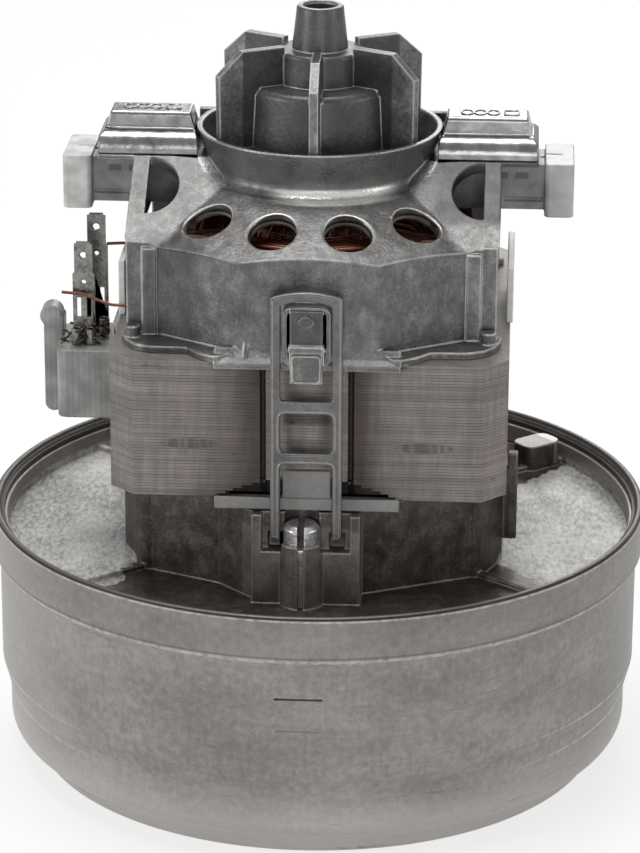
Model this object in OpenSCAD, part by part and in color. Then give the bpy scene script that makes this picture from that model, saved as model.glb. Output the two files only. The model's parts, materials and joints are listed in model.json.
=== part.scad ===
/* [Fan can] */
// Outer radius of the can's rim band
can_r = 72; // [68:0.5:78]
// Height of the can from its foot to the top of the rolled rim
can_h = 57.3; // [54:0.1:62]
// Thickness of the can's sheet
can_wall = 0.8; // [0.6:0.1:1.0]
// How far the upper wall lies inside the rim band
band_step = 1.3; // [1.1:0.1:2]
// Height of the rim band, from its lower edge to the top
band_h = 11.3; // [10:0.1:13]
// Height of the inner shoulder that carries the stage plate
shoulder_z = 22; // [20:0.5:24]
// How far the lower wall lies inside the upper wall
shoulder_step = 1.7; // [1.2:0.1:2.4]
// Radius of the rounded corner above the foot
corner_r = 4; // [2:0.5:6]
// Outer radius of the pressed foot ring
foot_r = 63.3; // [58:0.1:64]
// Height of the pressed foot ring
foot_h = 5; // [3:0.1:6]
// Radius of the inlet eye
eye_r = 19; // [15:0.5:22]
// Height of the turned-in lip round the inlet eye
eye_lip = 2.8; // [1.5:0.1:4]
// Number of discharge windows in the back of the wall
windows = 5; // [3:1:6]
// Width of a discharge window
window_w = 20; // [10:1:22]
// Height of a discharge window
window_h = 12; // [6:0.5:14]

/* [Impellers] */
// Outer radius of both impellers
impeller_r = 60.5; // [50:0.5:61]
// Height of an impeller between the outsides of its two discs
impeller_h = 11; // [9:0.5:12]
// Height of the first impeller's underside above the floor
impeller_z = 3.6; // [3.4:0.1:4.4]
// Number of blades in an impeller
impeller_blades = 8; // [6:1:11]
// Thickness of the impellers' sheet
impeller_sheet = 1; // [0.6:0.1:1.4]
// Number of vanes in the return guide
guide_vanes = 10; // [6:1:14]

/* [Lower bracket] */
// Depth of the deck's surface below the top of the rolled rim
deck_drop = 7.3; // [6:0.1:9]
// Thickness of the cast rim wall
rim_wall = 2.2; // [1.6:0.1:3]
// Height of the bracket from the deck to the underside of the stack
lower_h = 22.5; // [20:0.5:26]
// Thickness of the cast walls
cast_wall = 2.4; // [2:0.1:3]
// Radius of the spring pin in the front pocket
pin_r = 3.85; // [3:0.05:4.2]

/* [Stator] */
// Half the depth of the laminated stack, from its axis to its front face
stack_half = 43.5; // [42.5:0.5:46]
// Half the width of the laminated stack, from its axis to its side
stack_side = 41.7; // [41:0.1:44]
// Height of the laminated stack
stack_h = 30; // [26:1:36]
// Length of the chamfer on the stack's corners
stack_chamfer = 5.2; // [4:0.1:7]
// Radius of the stack's bore
bore_r = 22.6; // [21.5:0.1:23.5]
// Air gap between armature and stack
air_gap = 0.6; // [0.4:0.05:0.8]
// Number of loops drawn in each layer of a field coil
coil_loops = 6; // [3:1:6]
// Diameter of the drawn coil conductor
coil_wire = 1.7; // [1.2:0.1:1.8]
// Distance between neighbouring loops of a coil
coil_pitch = 2.2; // [2.1:0.05:2.4]

/* [Upper bracket] */
// Height of the skirt from the top of the stack to the shoulder
skirt_h = 22.5; // [20:0.5:26]
// How far the skirt's flat front lies behind the stack's front face
skirt_inset = 1.5; // [1:0.1:3]
// How far the corner columns lie inside the stack's sides
column_inset = 2.8; // [2.4:0.1:4]
// How far the fronts of the corner columns lie behind the stack's front face
column_back = 13.5; // [11:0.5:14]
// Rise of the domed roof above the shoulder
roof_h = 7; // [5:0.5:9]
// Height of the funnel above the domed roof
funnel_h = 10; // [8:0.5:13]
// Outer radius of the funnel's rim
funnel_r = 26.4; // [25.6:0.1:28]
// Widening of the funnel for each millimetre of height
funnel_slope = 0.33; // [0.28:0.01:0.34]
// Radius of the round air holes in the roof
hole_r = 4.95; // [3.5:0.05:5.1]
// Height of the arms' flat top above the domed roof
arm_rise = 4.6; // [4.5:0.1:5.4]

/* [Cooling fan] */
// Distance from the tips of the fan's blades to the funnel's rim, seen from above
blade_gap = 2.2; // [1.9:0.1:4]
// Number of blades
fan_blades = 6; // [4:1:9]
// Thickness of a blade
blade_t = 1.9; // [1:0.1:2.4]
// Outer radius of the fan's cup
cup_r = 15.5; // [14:0.1:16]
// Height of the whole fan above the funnel's rim
fan_top = 26; // [24:0.5:30]

/* [Rotor] */
// Radius of the shaft in the impellers and under the commutator
shaft_r = 4; // [3.6:0.1:4.4]
// Radius of the shaft in the lower bearing and in the armature
core_shaft_r = 6; // [5.8:0.1:6.2]
// Radius of the shaft in the upper bearing and in the fan
top_shaft_r = 3.5; // [3.3:0.1:3.6]
// Radius of the commutator
comm_r = 11; // [10:0.5:12]
// Number of slots in the armature and twice that many bars on the commutator
slots = 12; // [10:1:12]

/* [Brush gear] */
// Width of a carbon brush
brush_w = 6.3; // [5:0.1:7]
// Height of a carbon brush
brush_h = 7; // [5:0.1:7.4]
// Length of a carbon brush
brush_l = 20; // [16:1:24]
// Distance from the axis to the outer end of a brush holder
holder_end = 54.6; // [52:0.1:58]
// Half the width of a brush holder
holder_y = 6.3; // [5.4:0.1:6.6]
// Running clearance of the brush in its tube
brush_gap = 0.1; // [0.05:0.01:0.15]

/* [Retaining straps] */
// Width of a retaining strap
strap_w = 15; // [13:0.5:17]
// Thickness of a retaining strap
strap_t = 1.3; // [1:0.1:1.6]
// Width of a strap's legs
strap_leg = 2.1; // [2:0.1:3]

/* [Terminals] */
// Width of the terminal block away from the stack
block_w = 13.8; // [12:0.1:15]
// Height of the terminal block
block_h = 15.3; // [14:0.1:17]
// Depth of the terminal block
block_d = 20; // [16:1:24]
// Width of a terminal blade
tab_w = 4.8; // [4:0.1:6.3]
// Thickness of a terminal blade
tab_t = 0.8; // [0.5:0.1:1]

/* [Hidden] */

// Clearances between pieces
seat_gap = 0.1;
loose_gap = 0.3;
cut = 1;

// Heights, from the foot upwards
upper_r = can_r - band_step;
lower_r = upper_r - shoulder_step;
band_z = can_h - band_h;
band_slope = 1.6;
bead_r = 0.9;
bead_lip = 0.5;
gasket_h = 1.2;
deck_under = band_z + band_slope + seat_gap;
deck_z = can_h - deck_drop;
rim_top = can_h - bead_r - bead_lip - gasket_h;
stack_z = deck_z + lower_h;
stack_top = stack_z + stack_h;
skirt_top = stack_top + skirt_h;
roof_z = skirt_top + roof_h;
arm_z = roof_z + arm_rise;
funnel_z = roof_z + funnel_h;
fan_z = funnel_z + fan_top;
arm_t = 1;
holder_h = 9.9;
brush_z = arm_z - arm_t - seat_gap - holder_h / 2;
skirt_y = stack_half - skirt_inset;
skirt_x = stack_side - column_inset;
column_y = stack_half - column_back;

// Impeller stack
stage_z = shoulder_z + loose_gap;
stage_t = 0.8;
guide_gap = 1.5;
first_z = impeller_z;
guide_z = first_z + impeller_h + guide_gap;
second_z = stage_z + stage_t + 1.9;
impeller_eye = eye_r + can_wall + 0.9;
washer_r = 12;
washer_t = 1.5;
nut_h = 6.5;
nut_af = 13;
spacer_r = 7;

// Lower bearing, 12 x 32 x 10
low_ring_r = 16;
low_ring_h = 10;
low_ball_ring = (low_ring_r + core_shaft_r) / 2;
low_ball_r = 2.9;
low_balls = 8;
low_bearing_z = deck_z + 0.6;
low_hub_r = 24;
retainer_r = 22.5;
retainer_t = 1.5;
retainer_screw_ring = 19.2;
retainer_screw_r = 1.5;

// Upper bearing, 7 x 19 x 6
top_ring_r = 9.5;
top_ring_h = 6;
top_ball_ring = (top_ring_r + top_shaft_r) / 2;
top_ball_r = 1.75;
top_balls = 8;
top_housing_r = 11.2;
spider_h = 2.6;
spider_z = brush_z + holder_h / 2 + 0.1;
top_bearing_z = spider_z + 6.2;
top_housing_z = top_bearing_z + top_ring_h + 0.6;
spider_w = 4;

// Upper bracket
skirt_edge = 14.4;
panel_x = skirt_x - 4.9;
column_x = skirt_x - 6.4;
column_mid = skirt_x - 3.4;
column_in = column_y - 6;
rib_step = 1.5;
roof_flat_r = funnel_r - 0.2;
roof_slope = 0.475;
roof_t = 2.4;
hole_ring = 35;
house_x = skirt_x + 0.3;
ridge_y = 9;
gable_slope = 0.623;
gable_t = 2.2;
end_wall = 2.4;
arm_end = skirt_x + 8.1;
d_hole_r = 6.7;
funnel_wall = 1.2;
funnel_skin = funnel_wall * sqrt(1 + funnel_slope * funnel_slope);
waist_z = roof_z - 3;
waist_r = funnel_r - (funnel_z - waist_z) * funnel_slope;
fillet_r = 2.2;
ledge_t = 1.5;
lip = 1.4;

// Fan
cup_z = spider_z + spider_h + 0.7;
cup_wall = 1.3;
cup_top = top_housing_z + 3.3;
collar_r = 9.4;
collar_h = 7;
boss_low_r = 6;
boss_top_r = 5;
boss_h = 9.4;
blade_top = fan_z - 8.1;
blade_r = funnel_r - blade_gap;
blade_low_r = funnel_r - funnel_skin - (funnel_z - cup_z) * funnel_slope - 0.9;

// Stator windows and coils
window_in = 25;
window_out = 37.6;
window_deg = 43;
tip_deg = 20;
liner_t = 0.5;
liner_out = 1.6;
coil_r = window_in + liner_t + 2.2;
coil_half = coil_r * (90 - window_deg) * PI / 180 + coil_wire / 2 + liner_t + loose_gap;
coil_bend = 2.6;
coil_low = liner_out + coil_bend + 0.2;
coil_high = 7.6;
coil_steps = 24;
coil_start = 9;

// Armature
core_r = bore_r - air_gap;
slot_r = 2.3;
slot_ring = core_r - 4.4;
slot_mouth = 1.8;
end_h = 8.4;
neck_z = stack_top + 16;
riser_r = comm_r + 1.6;
comm_z = brush_z - brush_h / 2 - 4.6;
riser_h = 2.8;
comm_top = spider_z - 0.7;

// Brush gear
brush_in = comm_r + 0.25;
tube_wall = 0.5;
tube_y = brush_w / 2 + brush_gap + tube_wall;
tube_z = brush_h / 2 + brush_gap + tube_wall;
tube_in = comm_r + 2.6;
holder_in = comm_r + 4.5;
cap_l = 6.2;
cap_y = 8.6;
cap_h = 11.7;
cap_drop = 1.1;
tube_out = holder_end - cap_l - 0.6;
spring_r = 2.5;
spring_wire = 0.8;
spring_curls = 6;
clamp_in = funnel_r - 1.6;
clamp_out = arm_end - 0.1;
clamp_y = 8.5;
clamp_top_y = 4;
clamp_low_h = 4.8;
clamp_h = 8.4;
clamp_sheet = 1;
clamp_roll = 3.4;

// Straps: they hook under the catch of the upper bracket and into the pocket of the lower one
strap_y = stack_half + 1.7;
strap_top = stack_top + skirt_h * 2 / 3;
strap_arch = 1.3;
strap_foot = stack_z - 9;
strap_foot_h = 1.5;
strap_hook = 2;
strap_fillet = 1.6;

// Front pocket of the lower bracket
pocket_x = 11.4;
pocket_y = stack_half + 3.3;
pocket_wing = 2.1;
pocket_back = stack_half - 5.5;
pad_z = stack_z - 10.8;
socket_wall = 0.65;
pin_x = -0.9;
pin_y = pocket_y - 0.9;
wing_z = stack_z - 2.6;

// Bar under the front of the stack
bar_x = 19.4;
bar_z = stack_z - 2.3;
bar_h = 2.7;
bar_front = stack_half + 0.9;
stack_groove_x = 9.2;
lens_h = 4.6;
lens_x = 19.6;

// Terminals
block_z = stack_z + 7.6;
block_y = -8;
tab_y = [-4.5, -12];
tab_x = [-stack_side - 6.3, -stack_side - 8.3];
tab_top = [stack_top + 19.8, stack_top + 15.6];
tab_shoulder = 7.1;
sheet_y = 14;
sheet_h = 12;
wire_r = 0.4;
wire_sides = 6;

function arc(cx, cy, r, from, to, n) = [
    for (i = [0 : n]) let (a = from + (to - from) * i / n) [cx + r * cos(a), cy + r * sin(a)]
];

module tube(r_out, r_in, h) {
    difference() {
        cylinder(r = r_out, h = h, $fn = 96);
        translate([0, 0, -cut]) cylinder(r = r_in, h = h + 2 * cut, $fn = 96);
    }
}

module block(x, y, z, base) {
    translate([-x / 2, -y / 2, base]) cube([x, y, z]);
}

// A box with rounded vertical edges
module soft_block(x, y, z, base, r) {
    translate([0, 0, base]) linear_extrude(z) rounded(x, y, r);
}

module rounded(x, y, r) {
    union() {
        square([x - 2 * r, y], center = true);
        square([x, y - 2 * r], center = true);
        for (i = [-1, 1], j = [-1, 1]) translate([i * (x / 2 - r), j * (y / 2 - r)]) circle(r = r, $fn = 32);
    }
}

// Two unit directions across a route at point i: the first leans on the guide direction
function route_frame(route, i, guide) =
    let (t = route[min(i + 1, len(route) - 1)] - route[max(i - 1, 0)],
        across = is_undef(guide) ? [route[i][0], route[i][1], 0] : guide,
        u0 = cross(t, across),
        u = u0 / norm(u0),
        v0 = cross(u, t))
    [u, v0 / norm(v0)];

// One closed tube with flat ends along a list of points; without a guide, its rings face the axis
module sweep_tube(route, r, sides, guide = undef) {
    n = len(route);
    points = [
        for (i = [0 : n - 1]) let (f = route_frame(route, i, guide)) for (k = [0 : sides - 1])
            route[i] + r * (cos(360 * k / sides) * f[0] + sin(360 * k / sides) * f[1])
    ];
    walls = [
        for (i = [0 : n - 2], k = [0 : sides - 1]) let (a = i * sides + k, b = i * sides + (k + 1) % sides)
            each [[a, b, a + sides], [b, b + sides, a + sides]]
    ];
    first = [for (k = [1 : sides - 2]) [0, k + 1, k]];
    last = [for (k = [1 : sides - 2]) let (m = (n - 1) * sides) [m, m + k, m + k + 1]];
    polyhedron(points = points, faces = concat(walls, first, last), convexity = 10);
}

// Outline of the can's wall, drawn from the eye outwards and up to the rolled rim
function can_outer() = concat(
    [[eye_r, 0]],
    arc(foot_r - 1.5, 1.5, 1.5, -90, 0, 6),
    [[foot_r + 0.5, foot_h - 0.5], [foot_r + 0.8, foot_h]],
    arc(lower_r - corner_r, foot_h + corner_r, corner_r, -90, 0, 10),
    [[lower_r, shoulder_z - 6.4], [upper_r, shoulder_z], [upper_r, band_z], [can_r, band_z + band_slope]],
    arc(can_r - bead_r, can_h - bead_r, bead_r, 0, 180, 12)
);

function can_inner() = concat(
    [[can_r - 2 * bead_r, rim_top + gasket_h], [can_r - can_wall, rim_top + gasket_h]],
    [[can_r - can_wall, band_z + band_slope], [upper_r - can_wall, band_z]],
    [[upper_r - can_wall, shoulder_z]],
    [[lower_r - can_wall, shoulder_z - 6.4]],
    arc(lower_r - corner_r, foot_h + corner_r, corner_r - can_wall, 0, -90, 10),
    [[foot_r - can_wall, foot_h + can_wall]],
    arc(foot_r - 1.5, 1.5, 1.5 - can_wall, 0, -90, 6),
    [[eye_r + can_wall, can_wall], [eye_r + can_wall, eye_lip], [eye_r, eye_lip]]
);

// Cuts windows through the back of a wall of the given radius
module back_windows(r, w, h, z) {
    for (i = [0 : windows - 1]) rotate([0, 0, (i - (windows - 1) / 2) * 24])
        translate([-w / 2, r - 4, z]) cube([w, 8, h]);
}

module fan_can() {
    window_z = shoulder_z + 7;
    color("#8e8b86") difference() {
        rotate_extrude($fn = 180) polygon(concat(can_outer(), can_inner()));
        back_windows(upper_r, window_w, window_h, window_z);
        dimple_z = window_z + 2.2;
        translate([-5, -upper_r - cut, dimple_z]) cube([10, cut + 0.35, 7]);
        translate([-5, -upper_r - cut, dimple_z + 7]) cube([10, 4, 0.7]);
    }
}

module rim_gasket() {
    color("#1c1b1b") translate([0, 0, rim_top])
        tube(can_r - can_wall - 0.05, can_r - can_wall - 1.7, gasket_h);
}

module spacer_ring() {
    ring_r = upper_r - can_wall - seat_gap;
    ring_z = stage_z + stage_t;
    color("#9a9894") difference() {
        translate([0, 0, ring_z]) tube(ring_r, ring_r - can_wall, deck_under - ring_z);
        back_windows(ring_r, window_w + 1, window_h + 2, shoulder_z + 6);
    }
}

module stage_plate() {
    color("#a5a39f") translate([0, 0, stage_z])
        tube(upper_r - can_wall - seat_gap, impeller_eye - 0.6, stage_t);
}

// One curved blade between two heights, from an inner to an outer radius
module curved_blade(r_in, r_out, sweep, t, h) {
    steps = 8;
    line = [for (i = [0 : steps]) let (k = i / steps) [r_in + (r_out - r_in) * k, -sweep * k * k]];
    points = concat(
        [for (p = line) [p[0] * cos(p[1]) - t / 2 * sin(p[1]), p[0] * sin(p[1]) + t / 2 * cos(p[1])]],
        [for (i = [steps : -1 : 0]) let (p = line[i])
            [p[0] * cos(p[1]) + t / 2 * sin(p[1]), p[0] * sin(p[1]) - t / 2 * cos(p[1])]]
    );
    linear_extrude(h) polygon(points);
}

module return_guide() {
    vane_z = guide_z + stage_t;
    color("#a5a39f") union() {
        translate([0, 0, guide_z]) tube(impeller_r + 1.2, spacer_r + 0.8, stage_t);
        for (i = [0 : guide_vanes - 1]) rotate([0, 0, 360 * i / guide_vanes])
            translate([0, 0, vane_z - 0.2])
                curved_blade(impeller_eye + 3, impeller_r - 1, -38, 1, stage_z - vane_z + 0.2);
    }
}

// Riveted impeller: an eye plate below, blades, and a hub plate above
module impeller(z) {
    t = impeller_sheet;
    color("#b9b8b5") translate([0, 0, z]) union() {
        tube(impeller_r, impeller_eye, t);
        translate([0, 0, -1.2]) tube(impeller_eye + t, impeller_eye, 1.2 + t);
        translate([0, 0, impeller_h - t]) tube(impeller_r, shaft_r + 0.02, t);
        for (i = [0 : impeller_blades - 1]) rotate([0, 0, 360 * i / impeller_blades])
            translate([0, 0, t - 0.2])
                curved_blade(impeller_eye + 1.4, impeller_r - 0.4, 48, t, impeller_h - 2 * t + 0.4);
    }
}

module impeller_first() {
    impeller(first_z);
}

module impeller_second() {
    impeller(second_z);
}

module impeller_spacer() {
    from = first_z + impeller_h + washer_t;
    to = second_z + impeller_h - impeller_sheet - washer_t;
    color("#8f9094") translate([0, 0, from]) tube(spacer_r, shaft_r + 0.02, to - from);
}

module bearing_spacer() {
    from = second_z + impeller_h + washer_t;
    color("#8f9094") translate([0, 0, from]) tube(core_shaft_r + 2, shaft_r + 0.02, low_bearing_z - from);
}

module impeller_washers() {
    color("#a9a9ab") for (z = [first_z, second_z]) {
        translate([0, 0, z + impeller_h]) tube(washer_r, shaft_r + 0.02, washer_t);
        translate([0, 0, z + impeller_h - impeller_sheet - washer_t])
            tube(washer_r, shaft_r + 0.02, washer_t);
    }
}

module shaft_nut() {
    nut_z = first_z + impeller_h - impeller_sheet - washer_t - nut_h;
    color("#8c8a80") translate([0, 0, nut_z]) difference() {
        cylinder(r = nut_af / sqrt(3), h = nut_h, $fn = 6);
        translate([0, 0, -cut]) cylinder(r = shaft_r + 0.02, h = nut_h + 2 * cut, $fn = 48);
    }
}

module shaft() {
    low_end = first_z + impeller_h - impeller_sheet - washer_t - nut_h - 1.4;
    top_end = fan_z - 4.6;
    core_top = stack_top + 4;
    color("#b5b7ba") union() {
        translate([0, 0, low_end]) cylinder(r = shaft_r, h = top_bearing_z - 1 - low_end, $fn = 64);
        translate([0, 0, low_bearing_z]) cylinder(r = core_shaft_r, h = core_top - low_bearing_z, $fn = 64);
        translate([0, 0, top_bearing_z - 2])
            cylinder(r = top_shaft_r, h = top_end - top_bearing_z + 2, $fn = 64);
    }
}

// Plan of the lower bracket's wall; its front is open to the pocket block
function wall_plan(inset) =
    let (x = stack_side - 0.7 - inset,
        y = stack_half - 2.9 - inset,
        side = 19 - inset / 2,
        near = stack_side - 4.9 - inset,
        far = stack_half - 15 - inset / 2)
    [[-pocket_x, -y - 3.7], [inset / 2 - 19, -y + 3.8], [-near, -far], [-x, -side], [-x, side], [-near, far],
    [inset / 2 - 14, y], [14 - inset / 2, y], [near, far], [x, side], [x, -side], [near, -far],
    [pocket_x, -y - 0.2]];

module corner_post(x, y) {
    translate([x, y, deck_z - 0.2]) cylinder(r = 1.9, h = lower_h + 0.2, $fn = 32);
}

module deck_rib(a) {
    rotate([0, 0, a]) translate([42.6, -0.8, deck_z - 0.2])
        cube([can_r - can_wall - rim_wall - 42.2, 1.6, 1.4]);
}

// Block that takes the feet of a strap
module pocket_block() {
    translate([-pocket_x, -pocket_y, deck_z - 0.2])
        cube([2 * pocket_x, pocket_y - pocket_back, wing_z - deck_z + 0.2]);
}

// Slot of that block: its feet hook under a ledge at the back
module pocket_slot() {
    slot_x = pocket_x - pocket_wing;
    slot_back = strap_y - seat_gap - 0.5;
    foot_back = strap_y - strap_hook - loose_gap;
    foot_y = (cut - slot_back - foot_back) / 2 - cut;
    foot_h = strap_foot + strap_foot_h + loose_gap - pad_z;
    translate([-slot_x, -pocket_y - cut, pad_z]) cube([2 * slot_x, cut + pocket_y - slot_back, wing_z]);
    for (i = [-1, 1]) translate([i * (strap_w - strap_leg) / 2, foot_y, 0])
        block(strap_leg + 1, slot_back - foot_back + cut, foot_h, pad_z);
}

module pin_socket() {
    translate([pin_x, -pin_y, 0]) difference() {
        translate([0, 0, deck_z - 0.2])
            cylinder(r = pin_r + seat_gap + socket_wall, h = pad_z - deck_z + 2.6, $fn = 64);
        translate([0, 0, deck_z]) cylinder(r = pin_r + seat_gap, h = lower_h, $fn = 64);
        translate([-0.6, -pin_r - 2, deck_z]) cube([1.2, 4, lower_h]);
    }
}

// Upright finger of the bracket beside the stack
module side_finger() {
    finger_y = 2.6;
    translate([stack_side + 1.3, -16.5, 0]) soft_block(2.2, finger_y, lower_h - 2.8, deck_z + 4.4, 0.6);
    translate([stack_side, -16.5, 0]) block(2.6, finger_y - 0.4, lower_h - 6.4, deck_z + 4.4);
}

module lower_bracket() {
    flange_r = can_r - can_wall - seat_gap;
    hub_top = low_bearing_z + low_ring_h + 2;
    color("#57534f") difference() {
        union() {
            translate([0, 0, deck_under]) cylinder(r = flange_r, h = deck_z - deck_under, $fn = 180);
            translate([0, 0, deck_under]) tube(flange_r, flange_r - rim_wall, rim_top - deck_under);
            translate([0, 0, deck_z - 0.2]) cylinder(r = low_hub_r, h = hub_top - deck_z + 0.2, $fn = 96);
            difference() {
                translate([0, 0, deck_z - 0.2]) linear_extrude(lower_h + 0.2) polygon(wall_plan(0));
                translate([0, 0, deck_z]) linear_extrude(lower_h) polygon(wall_plan(cast_wall));
                for (j = [-1, 1]) translate([0, j * stack_half, 0])
                    block(2 * bar_x + 1, 2 * (stack_half - pocket_back + 2.4), lower_h, wing_z);
            }
            for (i = [-1, 1], j = [-1, 1]) corner_post(i * (stack_side - 6.7), j * (stack_half - 15.5));
            for (a = [-141, -38.5, 38.5, 141]) deck_rib(a);
            for (a = [0, 180]) rotate([0, 0, a]) pocket_block();
            pin_socket();
            rotate([0, 0, 40]) translate([can_r - 8.8, 0, 0]) soft_block(10, 7, 6.2, deck_z - 0.2, 2.4);
            side_finger();
        }
        for (a = [0, 180]) rotate([0, 0, a]) pocket_slot();
        translate([pin_x, -pin_y, deck_z]) cylinder(r = pin_r + seat_gap, h = lower_h, $fn = 64);
        translate([0, 0, low_bearing_z - retainer_t - seat_gap - 5])
            cylinder(r = retainer_r + 0.2, h = 5 + retainer_t + seat_gap, $fn = 96);
        translate([0, 0, low_bearing_z - cut])
            cylinder(r = low_ring_r + 0.05, h = low_ring_h + cut, $fn = 96);
        translate([0, 0, deck_z]) cylinder(r = low_ring_r - 3, h = lower_h, $fn = 96);
        for (a = [90, 210, 330]) rotate([0, 0, a]) translate([retainer_screw_ring, 0, low_bearing_z - cut])
            cylinder(r = retainer_screw_r + 0.05, h = 8, $fn = 32);
    }
}

module bearing_retainer() {
    plate_z = low_bearing_z - retainer_t - seat_gap;
    color("#9b9a97") difference() {
        translate([0, 0, plate_z]) tube(retainer_r, low_ring_r - 3, retainer_t);
        for (a = [90, 210, 330]) rotate([0, 0, a]) translate([retainer_screw_ring, 0, plate_z - cut])
            cylinder(r = retainer_screw_r + 0.1, h = 4, $fn = 32);
    }
}

module retainer_screws() {
    plate_z = low_bearing_z - retainer_t - seat_gap;
    color("#807f7c") for (a = [90, 210, 330]) rotate([0, 0, a]) translate([retainer_screw_ring, 0, 0])
        union() {
        translate([0, 0, plate_z - 1.6]) cylinder(r = 2.6, h = 1.6, $fn = 32);
        translate([0, 0, plate_z - 0.2]) cylinder(r = retainer_screw_r, h = 7, $fn = 32);
    }
}

module spring_pin() {
    pin_h = pad_z - deck_z + 6.4;
    color("#c4c4c6") translate([pin_x, -pin_y, deck_z]) difference() {
        cylinder(r = pin_r, h = pin_h, $fn = 64);
        translate([0, 0, pin_h - 1]) rotate_extrude($fn = 64)
            polygon([[pin_r - 1, 1.1], [pin_r + 1, 1.1], [pin_r + 1, -0.9]]);
        translate([-0.7, -pin_r - cut, pin_h - 5]) cube([1.4, 2 * pin_r + 2 * cut, 6]);
    }
}

// Ball bearing pieces, each drawn on its own lower face
module bearing_ring(r_out, r_in, h, groove_ring, groove_r) {
    difference() {
        tube(r_out, r_in, h);
        translate([0, 0, h / 2]) rotate_extrude($fn = 96) translate([groove_ring, 0])
            circle(r = groove_r, $fn = 32);
    }
}

module balls(ring, r, n) {
    for (i = [0 : n - 1]) rotate([0, 0, 360 * i / n]) translate([ring, 0, 0]) sphere(r = r, $fn = 32);
}

module lower_bearing_outer() {
    color("#c9cacc") translate([0, 0, low_bearing_z])
        bearing_ring(low_ring_r, low_ball_ring + 1.9, low_ring_h, low_ball_ring, low_ball_r + 0.1);
}

module lower_bearing_inner() {
    color("#c9cacc") translate([0, 0, low_bearing_z])
        bearing_ring(low_ball_ring - 1.9, core_shaft_r + 0.02, low_ring_h, low_ball_ring, low_ball_r + 0.1);
}

module lower_bearing_balls() {
    color("#d5d6d8") translate([0, 0, low_bearing_z + low_ring_h / 2])
        balls(low_ball_ring, low_ball_r, low_balls);
}

module upper_bearing_outer() {
    color("#c9cacc") translate([0, 0, top_bearing_z])
        bearing_ring(top_ring_r, top_ball_ring + 1.2, top_ring_h, top_ball_ring, top_ball_r + 0.1);
}

module upper_bearing_inner() {
    color("#c9cacc") translate([0, 0, top_bearing_z])
        bearing_ring(top_ball_ring - 1.2, top_shaft_r + 0.02, top_ring_h, top_ball_ring, top_ball_r + 0.1);
}

module upper_bearing_balls() {
    color("#d5d6d8") translate([0, 0, top_bearing_z + top_ring_h / 2])
        balls(top_ball_ring, top_ball_r, top_balls);
}

// A piece of a ring between two radii, from one angle to another
function sector(r_in, r_out, from, to, n) =
    concat(arc(0, 0, r_out, from, to, n), arc(0, 0, r_in, to, from, n));

module stack_outline() {
    x = stack_side;
    y = stack_half;
    c = stack_chamfer;
    polygon([
        [c - x, -y], [x - c, -y], [x, c - y], [x, y - c], [x - c, y], [c - x, y], [-x, y - c], [-x, c - y]
    ]);
}

module stator_stack() {
    color("#6e6760") difference() {
        translate([0, 0, stack_z]) linear_extrude(stack_h) difference() {
            stack_outline();
            circle(r = bore_r, $fn = 96);
            for (a = [0, 180]) rotate(a) {
                polygon(sector(window_in, window_out, -window_deg, window_deg, 16));
                polygon(sector(bore_r - cut, window_in + 0.2, -tip_deg, tip_deg, 8));
            }
            for (i = [-1, 1], j = [-1, 1]) translate([i * stack_groove_x, j * stack_half])
                square([1.2, 1.8], center = true);
        }
        for (j = [-1, 1]) translate([0, j * stack_half, stack_z]) rotate([90, 0, 0]) translate([0, 0, -3])
            linear_extrude(6)
                polygon([for (i = [-6 : 6]) let (k = i / 6) [k * lens_x, lens_h * (1 - k * k)], [0, -1]]);
    }
}

module slot_liners() {
    out = window_out - 0.1;
    inner = window_in + 0.3;
    wide = window_deg - 0.4;
    narrow = window_deg - 1.3;
    color("#e9e4d8") translate([0, 0, stack_z - liner_out]) linear_extrude(stack_h + 2 * liner_out)
        for (a = [0, 180]) rotate(a) difference() {
            polygon(sector(inner, out, -wide, wide, 16));
            polygon(sector(inner + liner_t, out - liner_t, -narrow, narrow, 16));
            polygon(sector(bore_r, inner + liner_t + 1, -tip_deg, tip_deg, 8));
        }
}

// Point k of a coil's loop, a rounded rectangle bent round the axis that grows by one pitch a loop
function coil_point(k, layer, away) =
    let (half = coil_steps / 2,
        i = k % half,
        turned = k % coil_steps >= half ? -1 : 1,
        side = i < 4 ? 1 : i < 8 ? 1 - (i - 3) / 2.5 : -1,
        bend = i < 4 ? 30 * i : i < 8 ? 90 : 30 * (i - 5),
        bend_r = coil_bend + away * coil_pitch,
        s = turned * (side * (coil_half - coil_bend) + bend_r * cos(bend)),
        z = turned * ((turned > 0 ? coil_high : coil_low) - coil_bend + stack_h / 2 + bend_r * sin(bend)),
        r = coil_r + layer * coil_pitch,
        a = s / coil_r * 180 / PI - 90)
    [r * cos(a), r * sin(a), stack_z + stack_h / 2 + z];

// The winding goes in on the inner layer, climbs in a half turn and comes out on the outer one
function coil_route() = [
    for (i = [0 : 2 * coil_loops * coil_steps])
        let (turns = i / coil_steps, layer = min(1, max(0, (turns - coil_loops + 0.25) * 2)))
        coil_point(i + coil_start, layer, abs(turns - coil_loops))
];

// Least distance between parts of the route that are more than half a loop apart
function least_gap(route) = min([
    for (i = [0 : len(route) - 1], j = [i + ceil(coil_steps / 2) : 1 : len(route) - 1])
        norm(route[i] - route[j])
]);

module field_coil() {
    sweep_tube(coil_route(), coil_wire / 2, 6);
}

module field_coil_front() {
    echo(coil_gap = least_gap(coil_route()) - coil_wire);
    color("#7a4a30") field_coil();
}

module field_coil_back() {
    color("#7a4a30") rotate([0, 0, 180]) field_coil();
}

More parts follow.
